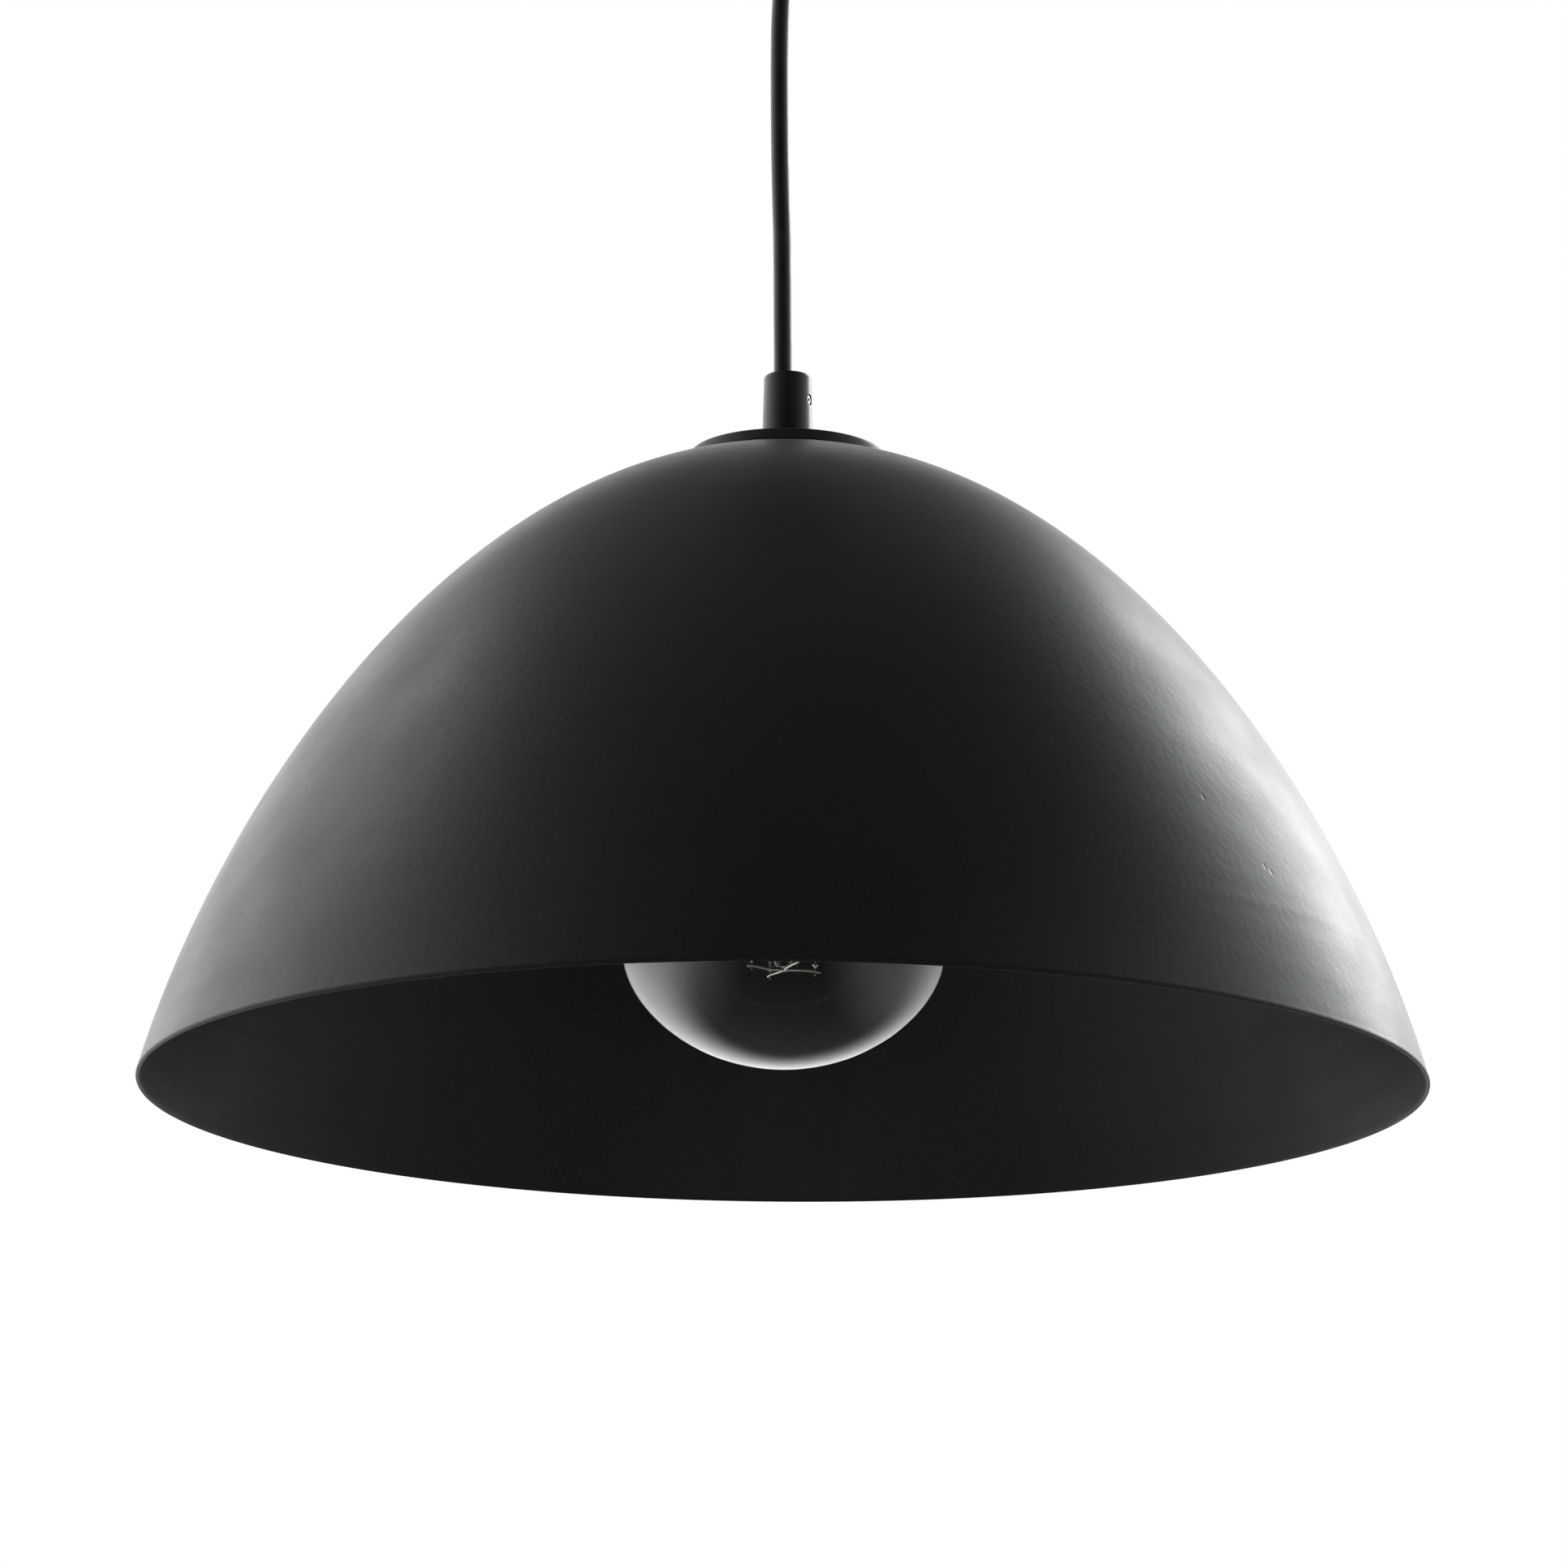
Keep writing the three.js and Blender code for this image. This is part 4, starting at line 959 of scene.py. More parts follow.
def canopy():
    """The spun ceiling cup, a little out of round, with a hole for its nipple and one for each screw."""
    shoulder = CANOPY_RADIUS - CANOPY_TAPER
    edge = (shoulder - CANOPY_EDGE, CANOPY_LOW + CANOPY_EDGE)
    top = CANOPY_HIGH
    profile = [
        (5.6, CANOPY_LOW), *finely((5.9, CANOPY_LOW), (edge[0] - 1, CANOPY_LOW), 4),
        *arc(edge, CANOPY_EDGE, -90, 0, 24),
        *finely((shoulder + 0.02, edge[1] + 1), (CANOPY_RADIUS, top - 0.5), 3),
        *arc((CANOPY_RADIUS - 0.5, top - 0.5), 0.5, 5, 175, 8),
        *finely((CANOPY_RADIUS - CANOPY_WALL, top - 0.5), (shoulder - CANOPY_WALL, edge[1] + 1), 3),
        *arc(edge, CANOPY_EDGE - CANOPY_WALL, 0, -90, 24),
        *finely((edge[0] - 1, CANOPY_LOW + CANOPY_WALL), (5.9, CANOPY_LOW + CANOPY_WALL), 4),
        (5.6, CANOPY_LOW + CANOPY_WALL), (5.4, CANOPY_LOW + CANOPY_WALL / 2),
    ]

    def radius_at(radius, height, angle):
        return radius * (1 + 0.0006 * math.sin(2 * angle + 1) + 0.0003 * math.sin(5 * angle))

    cup = turned("canopy_cup", profile, segments=192, radius_at=radius_at)
    return carved(cup, *side_holes(CANOPY_RADIUS - 5, CANOPY_RADIUS + 5, 2.25))


def side_screw(name, turn):
    """An M4 screw with a domed slotted head, run in through the canopy's wall."""
    shank, radius = 9.5, 1.95
    profile = [
        (0, -shank),
        (1.4, -shank),
        *finely((radius, -shank + 0.5), (radius, -0.1), SCREW_PITCH / 7),
        (radius, 0),
        *rounded([(3.5, 0), (3.9, 0), (3.9, 0.9), (3.2, 1.9)], 0.25, ring=False),
        *arc((0, -2.45), 5.0, 58, 90, 10)[1:-1],
        (0, 2.55),
    ]
    thread = threaded(0.42, SCREW_PITCH, -shank + 0.5, -0.4, radius)
    body = turned(name, profile, segments=48, ring=False, radius_at=thread)
    carved(body, block("slot", (-5, -0.5, 1.4), (5, 0.5, 4)))
    outside = shift(CANOPY_RADIUS + 0.3, 0, SIDE_SCREW_Z)
    return moved(body, Matrix.Rotation(turn, 4, "Z") @ outside @ ALONG_X)


def screw_places(y):
    """Where the two clamping screws of a pole stand."""
    return [(BLOCK_MIDDLE - 3.8, y), (BLOCK_MIDDLE + 3.8, y)]


def terminal_block():
    """A moulded two-pole terminal block with a well over each clamping screw."""
    left, right = BLOCK_MIDDLE - BLOCK_HALF, BLOCK_MIDDLE + BLOCK_HALF
    corners = (left, -BLOCK_HALF, BLOCK_BOTTOM), (right, BLOCK_HALF, BLOCK_TOP)
    body = block("terminal_block_body", *corners, 0.5)
    cuts = []
    for side in (-1, 1):
        start = BLOCK_MIDDLE + side * (BLOCK_HALF - 4.5)
        near, far = sorted((start, start + 5 * side))
        cuts.append(block("groove", (near, -0.7, BLOCK_BOTTOM - 1), (far, 0.7, BLOCK_BOTTOM + 3)))
        pole = side * POLE_Y
        cuts.append(rod("bore", (left - 1, pole, POLE_Z), (right + 1, pole, POLE_Z), 2.85))
        cuts += [rod("well", (x, y, BLOCK_BOTTOM - 1), (x, y, POLE_Z), 1.9) for x, y in screw_places(pole)]
        edge = side * (BLOCK_HALF - 1.0)
        step = (left - 1, edge - 1.0, BLOCK_BOTTOM - 1), (right + 1, edge + 1.0, BLOCK_BOTTOM + 2.2)
        cuts.append(block("step", *step))
    cuts.append(rod("hole", (BLOCK_MIDDLE, 0, BLOCK_BOTTOM - 1), (BLOCK_MIDDLE, 0, BLOCK_TOP + 1), 1.35))
    return beveled(carved(body, *cuts), 0.12, 2, 60)


def pole_tube(name, y):
    """A pole's brass tube, with a hole for each clamping screw."""
    profile = rounded([(2.6, -7), (2.6, 7), (1.6, 7), (1.6, -7)], 0.2)
    body = moved(turned(name, profile, segments=48), shift(BLOCK_MIDDLE, y, POLE_Z) @ ALONG_X)
    holes = [rod("hole", (x, y, POLE_Z - 4), (x, y, POLE_Z), 1.5) for x, y in screw_places(y)]
    return carved(body, *holes)


def clamp_screw(name, x, y, low, high):
    """A small slotted screw without a head, its slot facing down."""
    length, radius = high - low, 1.25
    profile = [
        (0, 0), (radius - 0.2, 0), *finely((radius, 0.2), (radius, length - 0.3), GRUB_PITCH / 5),
        (radius - 0.35, length), (0, length),
    ]
    thread = threaded(0.22, GRUB_PITCH, 0.7, length - 0.3, radius)
    body = turned(name, profile, segments=28, ring=False, radius_at=thread)
    carved(body, block("slot", (-2, -0.25, -1), (2, 0.25, 0.75)))
    return moved(body, shift(x, y, low))


def block_screw():
    """A pan-head screw that fixes the terminal block to the bracket, head down."""
    head, radius = BLOCK_BOTTOM - 0.3, 1.2
    profile = [
        (0, head - 1.4),
        *arc((0, head + 0.4), 1.8, -90, -32, 8)[1:],
        (2.2, head - 0.5),
        (2.2, head),
        (radius, head),
        *finely((radius, head + 0.1), (radius, -0.6), SCREW_PITCH / 7),
        (0.9, -0.4),
        (0, -0.4),
    ]
    thread = threaded(0.25, SCREW_PITCH, head + 1, -0.6, radius)
    body = turned("terminal_block_fixing", profile, segments=36, ring=False, radius_at=thread)
    moved(body, shift(BLOCK_MIDDLE, 0, 0))
    slot = block("slot", (BLOCK_MIDDLE - 3, -0.3, head - 2), (BLOCK_MIDDLE + 3, 0.3, head - 0.75))
    return carved(body, slot)


canopy_floor = CANOPY_LOW + CANOPY_WALL
canopy_washer_low = canopy_floor + 0.3
canopy_nut_low = canopy_washer_low + 1.5
canopy_nipple_high = canopy_nut_low + 8
grip_base = CANOPY_LOW - 0.3

dress(ceiling_bracket(), "ceiling", "zinc_steel", ZINC, "ceiling_bracket")
dress(canopy(), "ceiling", "powder_coat", POWDER_COAT, "canopy")
dress(side_screw("canopy_screw_r", 0), "ceiling", "black_steel", BLACK_LACQUER, "canopy_screw_right")
dress(side_screw("canopy_screw_l", math.pi), "ceiling", "black_steel", BLACK_LACQUER, "canopy_screw_left")
dress(washer("canopy_washer_disc", canopy_washer_low), "ceiling", "zinc_steel", ZINC, "canopy_washer")
dress(hex_nut("canopy_nut_hex", canopy_nut_low), "ceiling", "zinc_steel", ZINC, "canopy_nut")
canopy_nipple = nipple("canopy_nipple_tube", grip_base - NIPPLE_IN_GRIP, canopy_nipple_high)
dress(canopy_nipple, "ceiling", "zinc_steel", ZINC, "canopy_nipple")

hung = shift(0, 0, grip_base) @ Matrix.Rotation(math.pi, 4, "X")
stood = shift(0, 0, SHADE_GRIP_LOW)
for where, place, body, tip in (("canopy", hung, "ceiling", 3.2), ("shade", stood, "shade", 2.4)):
    grip = moved(cord_grip(where + "_grip_body"), place)
    dress(grip, body, "black_steel", BLACK_LACQUER, where + "_grip")
    screw = moved(grub_screw(where + "_grip_grub", tip, 7.3), place)
    dress(screw, body, "zinc_steel", ZINC, where + "_grip_screw")

dress(terminal_block(), "ceiling", "ivory_plastic", IVORY_PLASTIC, "terminal_block")
dress(block_screw(), "ceiling", "zinc_steel", ZINC, "terminal_block_screw")
# Each with its side at the terminal block.
POLES = (("live", -1, "brown_pvc", BROWN_PVC), ("neutral", 1, "blue_pvc", BLUE_PVC))
CORE_Y = 1.15  # the cores lie this far to each side inside the cord
CORE_RADIUS = 1.0
for pole, side, slot, colour in POLES:
    y = side * POLE_Y
    dress(pole_tube("terminal_%s_tube" % pole, y), "ceiling", "brass", BRASS, "terminal_" + pole)
    for number, (x, _) in enumerate(screw_places(y), 1):
        screw = clamp_screw("terminal_%s_clamp_%d" % (pole, number), x, y, BLOCK_BOTTOM + 1.2, POLE_Z - 1.4)
        dress(screw, "ceiling", "zinc_steel", ZINC, "terminal_%s_screw_%d" % (pole, number))
    core_y = side * CORE_Y
    line = smooth_line(
        [
            (0, core_y, EXIT_Z + SHEATH_IN_GRIP - 2),
            (0, core_y, grip_base),
            (0, core_y, canopy_nipple_high),
            (2.2, side * 1.8, POLE_Z - 1.6),
            (8, side * POLE_Y * 0.9, POLE_Z),
            (13.7, y, POLE_Z),
        ],
        0.8,
    )
    core = tube("canopy_core_%s_wire" % pole, line, CORE_RADIUS, 16)
    dress(core, "ceiling", slot, colour, "canopy_core_" + pole)

# ---- Shade ----

RIM_RADIUS = 200.0
RIM_LEAN = math.radians(15.1)
DOME_HEIGHT = 205.8
SHADE_WALL = 1.2
CROWN_TOP = 205.1
CROWN_FLAT = 14.0
RIDGE_HEIGHT = 34.0  # a spinning mark left in the metal all round
LIP_HEIGHT = 1.2


def shade_ripple(radius, height, angle):
    """The small errors of a spun dome: slightly out of round, faint tool rings and one clearer ridge."""
    share = radius / RIM_RADIUS
    oval = 0.16 * math.sin(2 * angle + 0.6) + 0.07 * math.sin(3 * angle + 1.9) + 0.03 * math.sin(7 * angle)
    rings = 0.018 * math.sin(height / 2.1 + 1.5 * math.sin(height / 19))
    sway = RIDGE_HEIGHT + 0.7 * math.sin(3 * angle + 1) + 0.4 * math.sin(8 * angle)
    depth = 0.05 * (1.1 + math.sin(angle * 2 + 2.6))
    ridge = depth * math.exp(-(((height - sway) / 1.6) ** 2))
    return radius + share * (oval * share + rings + ridge) - 0.2 * share


def dome_curve():
    """The dome's outside from the rim to the axis."""
    handle = (RIM_RADIUS - 88 * math.sin(RIM_LEAN), 88 * math.cos(RIM_LEAN))
    return curved([(RIM_RADIUS, 0), handle, (103.6, DOME_HEIGHT), (0, DOME_HEIGHT)], 200)


def dome_radius(height):
    radii, heights = zip(*dome_curve())
    return float(np.interp(height, heights, radii))


def dome():
    whole = dome_curve()
    half = SHADE_WALL / 2
    outside = [point for point in whole if point[1] > 0.9 and point[0] > CROWN_FLAT + 1.2]
    inside = offset(outside, SHADE_WALL)[::-1]
    lip_middle = (RIM_RADIUS - half * math.cos(RIM_LEAN) - 0.15, half)
    lean = math.degrees(RIM_LEAN)
    profile = [
        *arc(lip_middle, half, lean - 180, lean, 10),
        *outside,
        *finely((CROWN_FLAT, CROWN_TOP), (5.35, CROWN_TOP), 2),
        *finely((5.35, CROWN_TOP - SHADE_WALL), (CROWN_FLAT, CROWN_TOP - SHADE_WALL), 2),
        *inside,
    ]
    return turned("shade_dome", profile, RIM_Z, segments=360, radius_at=shade_ripple)


def shade_cap():
    """The small domed cover over the shade's crown; its rolled edge stands just off the shade."""
    radius, edge_low, edge_high, top, wall, roll = 31.2, 202.5, 206.1, 209.0, 1.6, 1.1
    profile = [
        *arc((radius - 0.45, edge_low + 0.45), 0.45, -120, 0, 6),
        *arc((radius - roll, edge_high - roll), roll, 0, 78, 10),
        *curved([(29.2, edge_high + 0.13), (20, edge_high + 1.9), (15, top), (9, top)], 22),
        *finely((8.6, top), (5.5, top), 1.2),
        (5.35, top - 0.2),
        (5.35, CROWN_TOP + 0.3),
        (11, CROWN_TOP + 0.3),
        (11.5, top - wall - 0.3),
        *curved([(12, top - wall - 0.3), (18, top - wall - 0.4), (24, edge_high - wall + 0.6),
                 (radius - wall - 1, edge_high - wall)], 8),
        (radius - wall, edge_high - wall - 1),
        (radius - wall, edge_low + 0.3),
    ]
    return turned("shade_cap_cover", profile, RIM_Z, segments=192)


def shade_coat():
    """The powder coat, with the few small pits that this shade has, each darkened by painted shade."""
    shaded_pits = [
        (-45.3, 66.1, 0.75), (-39.7, 47.1, 0.8), (-38.9, 45.6, 0.9), (-146, 72.3, 0.8),
        (-164, 12.8, 0.7), (-162.6, 15.6, 0.6),
    ]
    return powder_coat("shade_coat", shaded_pits)


shade = dress(dome(), "shade", "powder_coat", shade_coat(), "shade")
# The inside and the rim lip take a less shiny copy of the coat that is 1.2 times paler: the extra paleness
# is painted light that lightens the inside.
shade.data.materials.append(powder_coat("shade_inside_painted_paler", shine=0.16, paleness=1.2))
for face in shade.data.polygons:
    outward = face.normal.x * face.center.x + face.normal.y * face.center.y + 0.01 * face.normal.z
    on_lip = face.center.z < (RIM_Z + LIP_HEIGHT) * MM
    face.material_index = int(outward < 0 or on_lip)
dress(shade_cap(), "shade", "powder_coat", POWDER_COAT, "shade_cap")

WASHER_LOW = RIM_Z + CROWN_TOP - SHADE_WALL - 0.3 - 1.2
NIPPLE_LOW = 187.5
HOLDER_TOP = 197.5
dress(washer("shade_washer_disc", WASHER_LOW), "shade", "zinc_steel", ZINC, "shade_washer")
dress(hex_nut("shade_nut_hex", WASHER_LOW - 4.3), "shade", "zinc_steel", ZINC, "shade_nut")
shade_nipple = nipple("shade_nipple_tube", RIM_Z + NIPPLE_LOW, SHADE_GRIP_LOW + NIPPLE_IN_GRIP)
dress(shade_nipple, "shade", "zinc_steel", ZINC, "shade_nipple")

# ---- Lampholder ----

HOLDER_RADIUS = 19.5
HOLDER_WALL = 1.5
SKIRT_LOW, SKIRT_HIGH = 136.0, 171.6
INSERT_RADIUS = 16.0
INSERT_CEILING, INSERT_HIGH = 169.0, 177.0


def ribbed(radius, angle):
    """A radius drawn in by fine grip ribs."""
    return radius - 0.28 * max(0, math.cos(48 * angle)) ** 2


def holder_cap():
    """The lampholder's upper half: a band of fine grip ribs, a rounded shoulder and a threaded neck."""
    low, shoulder, neck = SKIRT_HIGH + 0.3, 181.0, 191.5
    outer, inner = HOLDER_RADIUS, HOLDER_RADIUS - HOLDER_WALL
    profile = [
        (outer - 0.3, low),
        (outer, low + 0.3),
        *finely((outer, low + 1), (outer, shoulder), 0.8),
        *curved([(outer, shoulder), (outer, shoulder + 7), (13, neck + 1), (8.5, neck + 2)], 24)[1:],
        *finely((8.5, neck + 3), (8.5, HOLDER_TOP - 0.3), 1),
        (8.2, HOLDER_TOP),
        (5.7, HOLDER_TOP),
        *finely((5.35, HOLDER_TOP - 0.35), (5.35, neck + 0.3), 0.25),
        (5.6, neck),
        *curved([(8, neck), (12.5, neck - 1), (inner, shoulder + 5.5), (inner, shoulder)], 16),
        *finely((inner, shoulder - 1), (inner, low), 1),
    ]

    def radius_at(radius, height, angle):
        on_band = abs(radius - outer) < 1e-6 and low + 1 < height < shoulder - 1
        return ribbed(radius, angle) if on_band else radius

    return turned("holder_cap_shell", profile, RIM_Z, segments=384, radius_at=radius_at)


def holder_skirt():
    """The lower half, which screws on to the cap and holds the insert."""
    inner = INSERT_RADIUS + 0.4
    male = HOLDER_RADIUS - HOLDER_WALL - 0.3
    profile = [
        (inner - 1.4, SKIRT_LOW),
        (HOLDER_RADIUS - 0.9, SKIRT_LOW),
        *arc((HOLDER_RADIUS - 0.9, SKIRT_LOW + 0.9), 0.9, -80, 0, 6),
        *finely((HOLDER_RADIUS, SKIRT_LOW + 1.4), (HOLDER_RADIUS, SKIRT_HIGH - 0.3), 0.7),
        (HOLDER_RADIUS - 0.3, SKIRT_HIGH),
        *finely((male, SKIRT_HIGH), (male, SKIRT_HIGH + 5.6), 0.3),
        (male - 0.4, SKIRT_HIGH + 6),
        (inner, SKIRT_HIGH + 6),
        *finely((inner, SKIRT_HIGH + 5), (inner, SKIRT_LOW + 2), 2),
        (inner - 1.6, SKIRT_LOW + 1.6),
        (inner - 1.6, SKIRT_LOW + 0.2),
    ]
    thread = threaded(0.5, 2.0, SKIRT_HIGH + 0.2, SKIRT_HIGH + 5.4, male)

    def radius_at(radius, height, angle):
        if abs(radius - HOLDER_RADIUS) > 1e-6:
            return thread(radius, height, angle)
        if SKIRT_HIGH - 9 < height < SKIRT_HIGH - 1:
            return ribbed(radius, angle)
        in_groove = abs(height - SKIRT_HIGH + 11) < 0.6
        return radius - 0.35 if in_groove else radius

    return turned("holder_skirt_shell", profile, RIM_Z, segments=384, radius_at=radius_at)


def holder_insert():
    """The ceramic insert: a cup that holds the screw sleeve, with a recess for the wires on top."""
    bore = 14.5
    profile = [
        (0, INSERT_CEILING), (bore - 0.8, INSERT_CEILING), (bore, INSERT_CEILING - 0.8),
        *finely((bore, INSERT_CEILING - 2), (bore, SKIRT_LOW + 5.4), 3), (bore + 0.4, SKIRT_LOW + 5),
        (INSERT_RADIUS - 0.4, SKIRT_LOW + 5),
        *finely((INSERT_RADIUS, SKIRT_LOW + 5.4), (INSERT_RADIUS, INSERT_HIGH - 0.6), 3),
        (INSERT_RADIUS - 0.6, INSERT_HIGH), (0, INSERT_HIGH),
    ]
    body = turned("holder_insert_body", profile, segments=128, ring=False)
    grooves = [rod("groove", (0, y, SKIRT_LOW + 3), (0, y, INSERT_HIGH + 2), 1.3) for y in (16.4, -16.4)]
    recess = block("recess", (-3.2, -12, INSERT_HIGH - 1.5), (3.2, 12, INSERT_HIGH + 2), 0.5)
    return moved(carved(body, *grooves, recess), FROM_RIM)


def holder_sleeve():
    """The brass screw sleeve, rolled with the lamp's own thread."""
    low, high = SKIRT_LOW + 6, INSERT_CEILING - 4
    outer, wall = 14.15, 0.4
    up = finely((outer, low + 0.3), (outer, high - 0.3), LAMP_PITCH / 16)
    down = finely((outer - wall, high - 0.3), (outer - wall, low + 0.3), LAMP_PITCH / 16)
    profile = [(outer - 0.2, low + 0.1), *up, (outer - 0.2, high - 0.1), *down]
    thread = threaded(0.25, LAMP_PITCH, low, high)
    return turned("holder_sleeve_shell", profile, RIM_Z, segments=96, radius_at=thread)


def centre_contact():
    """The springy brass tongue that presses on the lamp's tip."""
    top, tip, thick, width = INSERT_CEILING - 0.3, 166.95, 0.5, 2.5
    bent = [(-4, tip + 0.55), (-2.6, tip + 0.1), (-1, tip), (1, tip), (2.6, tip + 0.25)]
    under = smooth_line([*bent, (5, top - thick), (10, top - thick)], 0.4)
    over = [(x, z + thick) for x, z in under]
    strip = slab("holder_contact_strip", [tuple(point) for point in under] + over[::-1], -width, width)
    return beveled(moved(strip, FROM_RIM @ Y_TO_Z), 0.08, 1, 50)


def holder_post(name, side):
    """A brass wire post, on its side of the insert."""
    base = INSERT_HIGH + 0.3
    body = block(name, (6, -3.5, base), (12, 3.5, base + 6), 0.35)
    wire = rod("hole", (9, -5, base + 3), (9, 5, base + 3), 1.35)
    tapped = rod("hole", (9, 0, base + 3), (9, 0, base + 8), 1.5)
    carved(body, wire, tapped)
    return moved(body, FROM_RIM @ Matrix.Rotation(0 if side > 0 else math.pi, 4, "Z"))


dress(holder_cap(), "shade", "black_plastic", BLACK_PLASTIC, "holder_cap")
dress(holder_skirt(), "shade", "black_plastic", BLACK_PLASTIC, "holder_skirt")
dress(holder_insert(), "shade", "ceramic", STEATITE, "holder_insert")
dress(holder_sleeve(), "shade", "brass", BRASS, "holder_sleeve")
dress(centre_contact(), "shade", "brass", BRASS, "holder_contact")

POST_HOLE = INSERT_HIGH + 3.3  # the height of the wire holes of the posts
nipple_z = RIM_Z + NIPPLE_LOW
for pole, opposite, slot, colour in POLES:
    side = -opposite
    dress(holder_post("holder_post_%s_block" % pole, side), "shade", "brass", BRASS, "holder_post_" + pole)
    low, high = RIM_Z + (POST_HOLE + 1.6), RIM_Z + (POST_HOLE + 4)
    screw = clamp_screw("holder_post_%s_clamp" % pole, 9 * side, 0, low, high)
    dress(screw, "shade", "zinc_steel", ZINC, "holder_post_screw_" + pole)
    y = side * CORE_Y
    line = smooth_line(
        [
            (-1.2, y, SHADE_GRIP_LOW + GRIP_LENGTH - SHEATH_IN_GRIP - 0.5),
            (-1.2, y, SHADE_GRIP_LOW + 6),
            (-1, y, SHADE_GRIP_LOW - 10),
            (-1, y, nipple_z + 8),
            (-1, y, nipple_z + 1),
            (side * 1.5, y * 2.6, nipple_z - 3),
            (side * 7, side * 6.44, RIM_Z + POST_HOLE + 0.6),
            (side * 9, side * 4.6, RIM_Z + POST_HOLE),
            (side * 9, side * 2.2, RIM_Z + POST_HOLE),
        ],
        0.8,
    )
    core = tube("holder_core_%s_wire" % pole, line, CORE_RADIUS, 16)
    dress(core, "shade", slot, colour, "holder_core_" + pole)

# ---- Lamp ----

GLOBE_RADIUS = 62.5
GLOBE_LOW = 8.2
GLOBE_MIDDLE = GLOBE_LOW + GLOBE_RADIUS
GLOBE_SHOULDER = 54  # where the neck's curve leaves the globe, in degrees above its middle
GLASS_WALL = 0.9
SEAL_RADIUS = 12.2
THREAD_RADIUS = 13.25
THREAD_DEPTH = 0.6
LAMP_HIGH = 166.6
NECK_HIGH = 129.0
SEAL_HIGH = 138.5
INSULATOR_LOW = 160.2
STEM_LOW = 40.0
STEM_WAIST = 112.0
STEM_HIGH = 134.2
FILAMENTS = 4
FILAMENT_TURN = math.radians(23)
FILAMENT_HIGH = (6.6, 108.0)
FILAMENT_LOW = (10.8, 42.0)


def lamp_glass():
    """The thin hollow globe with its neck, narrowed where it is sealed into the cap."""
    globe = arc((0, GLOBE_MIDDLE), GLOBE_RADIUS, -90, GLOBE_SHOULDER, 110)
    end_radius, end_height = globe[-1]
    throat = 15.5
    neck = [globe[-1], (end_radius - 10, end_height + 7.2), (throat, NECK_HIGH - 4), (throat, NECK_HIGH)]
    narrowing = [(throat, 0), (throat, 2.6), (13.2, 3.2), (SEAL_RADIUS, 4.4)]
    outside = [
        *globe, *curved(neck, 24)[1:],
        *curved([(radius, NECK_HIGH + rise) for radius, rise in narrowing], 6)[1:],
        *finely((SEAL_RADIUS, NECK_HIGH + 5), (SEAL_RADIUS, SEAL_HIGH - 0.2), 1),
    ]
    inside = offset(outside, GLASS_WALL)[::-1]
    inside[-1] = (0, GLOBE_LOW + GLASS_WALL)
    end = [(SEAL_RADIUS - 0.2, SEAL_HIGH), (SEAL_RADIUS - GLASS_WALL + 0.2, SEAL_HIGH)]
    return turned("lamp_glass_globe", outside + end + inside, RIM_Z, segments=160, ring=False)


def lamp_shell():
    """The screw cap: thin sheet with its thread rolled in, and a turned-in top edge."""
    low, start, high = 133.8, 139.0, 158.2
    inner = SEAL_RADIUS + 0.35
    profile = [
        (inner + 0.2, low + 0.1), (inner + 0.6, low), (THREAD_RADIUS - 0.1, low + 0.6),
        *finely((THREAD_RADIUS - 0.05, low + 1), (THREAD_RADIUS - 0.1, start - 0.3), 1),
        *finely((THREAD_RADIUS, start), (THREAD_RADIUS, high), LAMP_PITCH / 18),
        (THREAD_RADIUS - THREAD_DEPTH - 0.2, high + 0.5),
        *curved([(12.2, high + 1), (11.4, high + 2.1), (10.2, high + 2.8), (9.2, high + 3)], 8),
        (8.7, high + 2.9), (8.9, high + 2.4), (11.6, high + 0.2),
        *finely((inner - 0.35, high - 0.3), (inner - 0.35, start + 0.6), LAMP_PITCH / 6),
        (inner, start), *finely((inner, start - 0.5), (inner, low + 0.5), 1),
    ]
    thread = threaded(THREAD_DEPTH, LAMP_PITCH, start, high, THREAD_RADIUS)
    return turned("lamp_shell_sheet", profile, RIM_Z, segments=120, radius_at=thread)


def lamp_insulator():
    """The black glass bead that holds the tip, with six faint flutes in its slope."""
    low = INSULATOR_LOW
    flat = [(0, 0), (7.4, 0), (7.6, 0.2), (7.6, 1.2), (8.6, 1.3), (8.75, 1.5)]
    slope = curved([(8.6, 1.8), (7.6, 2.4), (6.2, 3.2), (5.6, 4.3)], 8)
    profile = [(radius, low + rise) for radius, rise in (*flat, *slope, (5.2, 4.4), (0, 4.4))]

    def radius_at(radius, height, angle):
        fluted = 5.7 < radius < 8.5 and height > low + 1.4
        return radius - 0.18 * max(0, math.cos(6 * angle)) if fluted else radius

    return turned("lamp_insulator_bead", profile, RIM_Z, segments=96, ring=False, radius_at=radius_at)


def lamp_tip():
    """The centre contact: a pressed cup with an uneven dome of solder."""
    low = LAMP_HIGH - 1.7
    cup = [(0, 0), (4.6, 0), (4.8, 0.2), (4.75, 0.6), (4.4, 0.85), (3.2, 0.9), (2.9, 1)]
    profile = [(radius, low + rise) for radius, rise in cup]
    profile += curved([(2.7, low + 1.2), (2.2, low + 1.6), (1.2, LAMP_HIGH), (0, LAMP_HIGH)], 10)

    def radius_at(radius, height, angle):
        return radius * (1 + 0.03 * math.sin(3 * angle + height)) if radius < 3 else radius

    return turned("lamp_tip_contact", profile, RIM_Z, segments=64, ring=False, radius_at=radius_at)


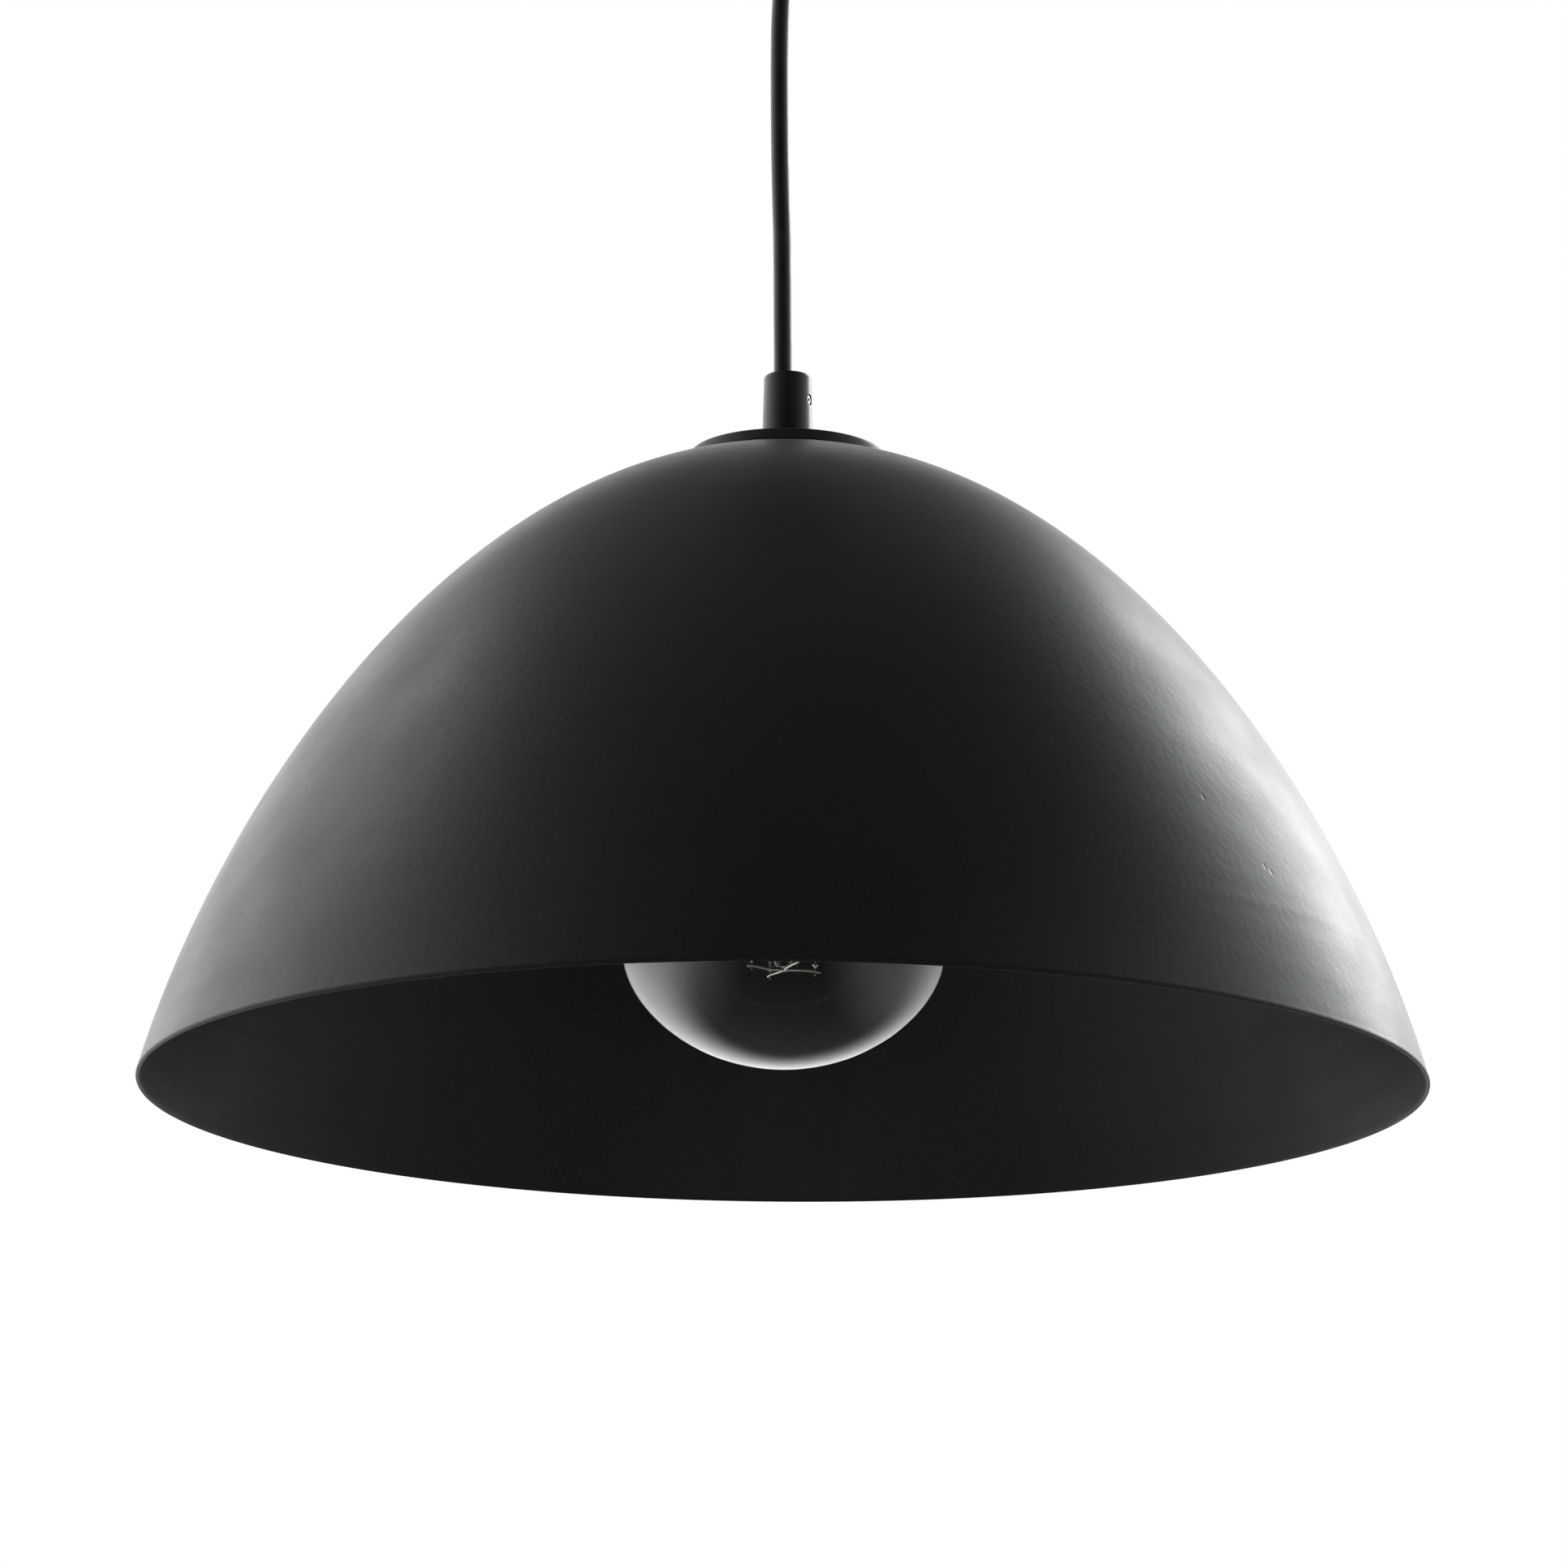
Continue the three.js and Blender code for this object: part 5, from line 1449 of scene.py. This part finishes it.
def lamp_stem():
    """The glass stem: a flare sealed to the neck, a pinch with the leads in it, and a rod with a button."""
    waist = STEM_WAIST
    profile = [
        (0, STEM_LOW),
        *arc((0, STEM_LOW + 2.8), 3.5, -52, 48, 14),
        (2.0, STEM_LOW + 6.2),
        (1.7, STEM_LOW + 7.2),
        *finely((1.55, STEM_LOW + 9), (1.55, waist - 4), 3),
        *curved([(1.6, waist - 3), (1.8, waist + 1), (3.4, waist), (3.6, waist + 4)], 8),
        *curved([(3.6, waist + 4.5), (3.6, waist + 12), (6, STEM_HIGH - 3.2), (10.4, STEM_HIGH - 0.8)], 14),
        (10.6, STEM_HIGH - 0.4),
        (10.3, STEM_HIGH),
        (9.2, STEM_HIGH - 0.5),
        *curved([(9.0, STEM_HIGH - 0.7), (5.2, STEM_HIGH - 4.2), (2.4, waist + 11), (1.8, waist + 7)], 12),
        (0, waist + 5.5),
    ]

    def radius_at(radius, height, angle):
        if height >= waist + 8:
            return radius
        pinch = math.exp(-(((height - waist - 3.5) / 4) ** 2))
        return radius * (1 - 0.32 * abs(math.sin(angle)) * pinch)

    return turned("lamp_stem_glass", profile, RIM_Z, segments=72, ring=False, radius_at=radius_at)


def around(place, turn):
    """A [distance, height] place in the lamp, turned about its axis."""
    distance, height = place
    return (distance * math.cos(turn), distance * math.sin(turn), RIM_Z + height)


def filament_turn(i):
    """The direction in which a filament stands, about the lamp's axis."""
    return FILAMENT_TURN + 2 * math.pi * i / FILAMENTS


def lamp_star():
    """The wires spread under the button, each with a flared pin that carries a filament."""
    hub = rounded([(0, 38.7), (0.9, 38.7), (0.9, 39.7), (0, 39.7)], 0.2, ring=False)
    pin = [(0, 38.2), (0.3, 38.3), (0.32, 40.7), (0.5, 41.2), (1.05, 41.6), (1.05, 41.75), (0, 41.8)]
    parts = [turned("hub", hub, RIM_Z, segments=24, ring=False)]
    reach = FILAMENT_LOW[0]
    for i in range(FILAMENTS):
        turn = filament_turn(i)
        sag = 0.35 * math.sin(2.1 * i + 1)
        places = [(0, 39.1), (5.5, 39.3 + sag), (reach - 0.6, 39.6), (reach + 1.7, 39.4)]
        line = smooth_line([around(place, turn) for place in places], 0.5)
        parts.append(tube("arm", line, 0.42, 12))
        head = turned("pin", pin, segments=16, ring=False)
        parts.append(moved(head, shift(*around((reach, 0), turn))))
    return joined("lamp_star_wires", *parts)


def lamp_lead(name, first):
    """A wire that joins the upper ends of two neighbouring filaments."""
    start, end = filament_turn(first), filament_turn(first + 1)
    reach, high = FILAMENT_HIGH[0], FILAMENT_HIGH[1] + 0.3
    foot, bend = (reach - 0.05, high), (reach - 0.4, high + 2.5)
    line = smooth_line(
        [
            around(foot, start),
            around(bend, start),
            around((4.1, high + 5), (start + end) / 2),
            around(bend, end),
            around(foot, end),
        ],
        0.4,
    )
    return tube(name, line, 0.35, 12)


def filament(name, i):
    """A thin strip of chips under a rounded coat, ending in a bare metal tab at each end."""
    turn = filament_turn(i)
    low, high = Vector(around(FILAMENT_LOW, turn)), Vector(around(FILAMENT_HIGH, turn))
    length = (high - low).length
    profile = [
        (0, 2.2),
        (0.55, 2.25),
        (0.85, 2.7),
        *finely((0.9, 3.2), (0.9, length - 3.2), 0.6),
        (0.85, length - 2.7),
        (0.55, length - 2.25),
        (0, length - 2.2),
    ]

    def radius_at(radius, height, angle):
        flat = 1 - 0.22 * abs(math.sin(angle))
        return radius * flat * (1 + 0.03 * math.sin(height * 2.4 + i) * math.sin(angle * 2))

    body = turned(name, profile, segments=24, ring=False, radius_at=radius_at)
    place = shift(*low) @ (high - low).to_track_quat("Z", "Y").to_matrix().to_4x4()
    tabs = [
        block(name + "_tab", (-0.45, -0.12, start), (0.45, 0.12, start + 2.5), 0.05)
        for start in (0.1, length - 2.6)
    ]
    return moved(body, place), moved(joined(name + "_tabs", *tabs), place)


dress(lamp_glass(), "lamp", "clear_glass", CLEAR_GLASS, "lamp_glass")
dress(lamp_shell(), "lamp", "nickel", NICKEL, "lamp_shell")
dress(lamp_insulator(), "lamp", "black_glass", FUSED_GLASS, "lamp_insulator")
dress(lamp_tip(), "lamp", "nickel", NICKEL, "lamp_tip")
dress(lamp_stem(), "lamp", "clear_glass", CLEAR_GLASS, "lamp_stem")
dress(lamp_star(), "lamp", "nickel", NICKEL, "lamp_star")
dress(lamp_lead("lamp_lead_1_wire", 0), "lamp", "nickel", NICKEL, "lamp_lead_1")
dress(lamp_lead("lamp_lead_2_wire", 2), "lamp", "nickel", NICKEL, "lamp_lead_2")
for i in range(FILAMENTS):
    strip, tabs = filament("lamp_filament_%d_strip" % (i + 1), i)
    dress(strip, "lamp", "phosphor", PHOSPHOR, "lamp_filament_%d" % (i + 1))
    dress(tabs, "lamp", "nickel", NICKEL)

# ---- Sizes ----

low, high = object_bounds()
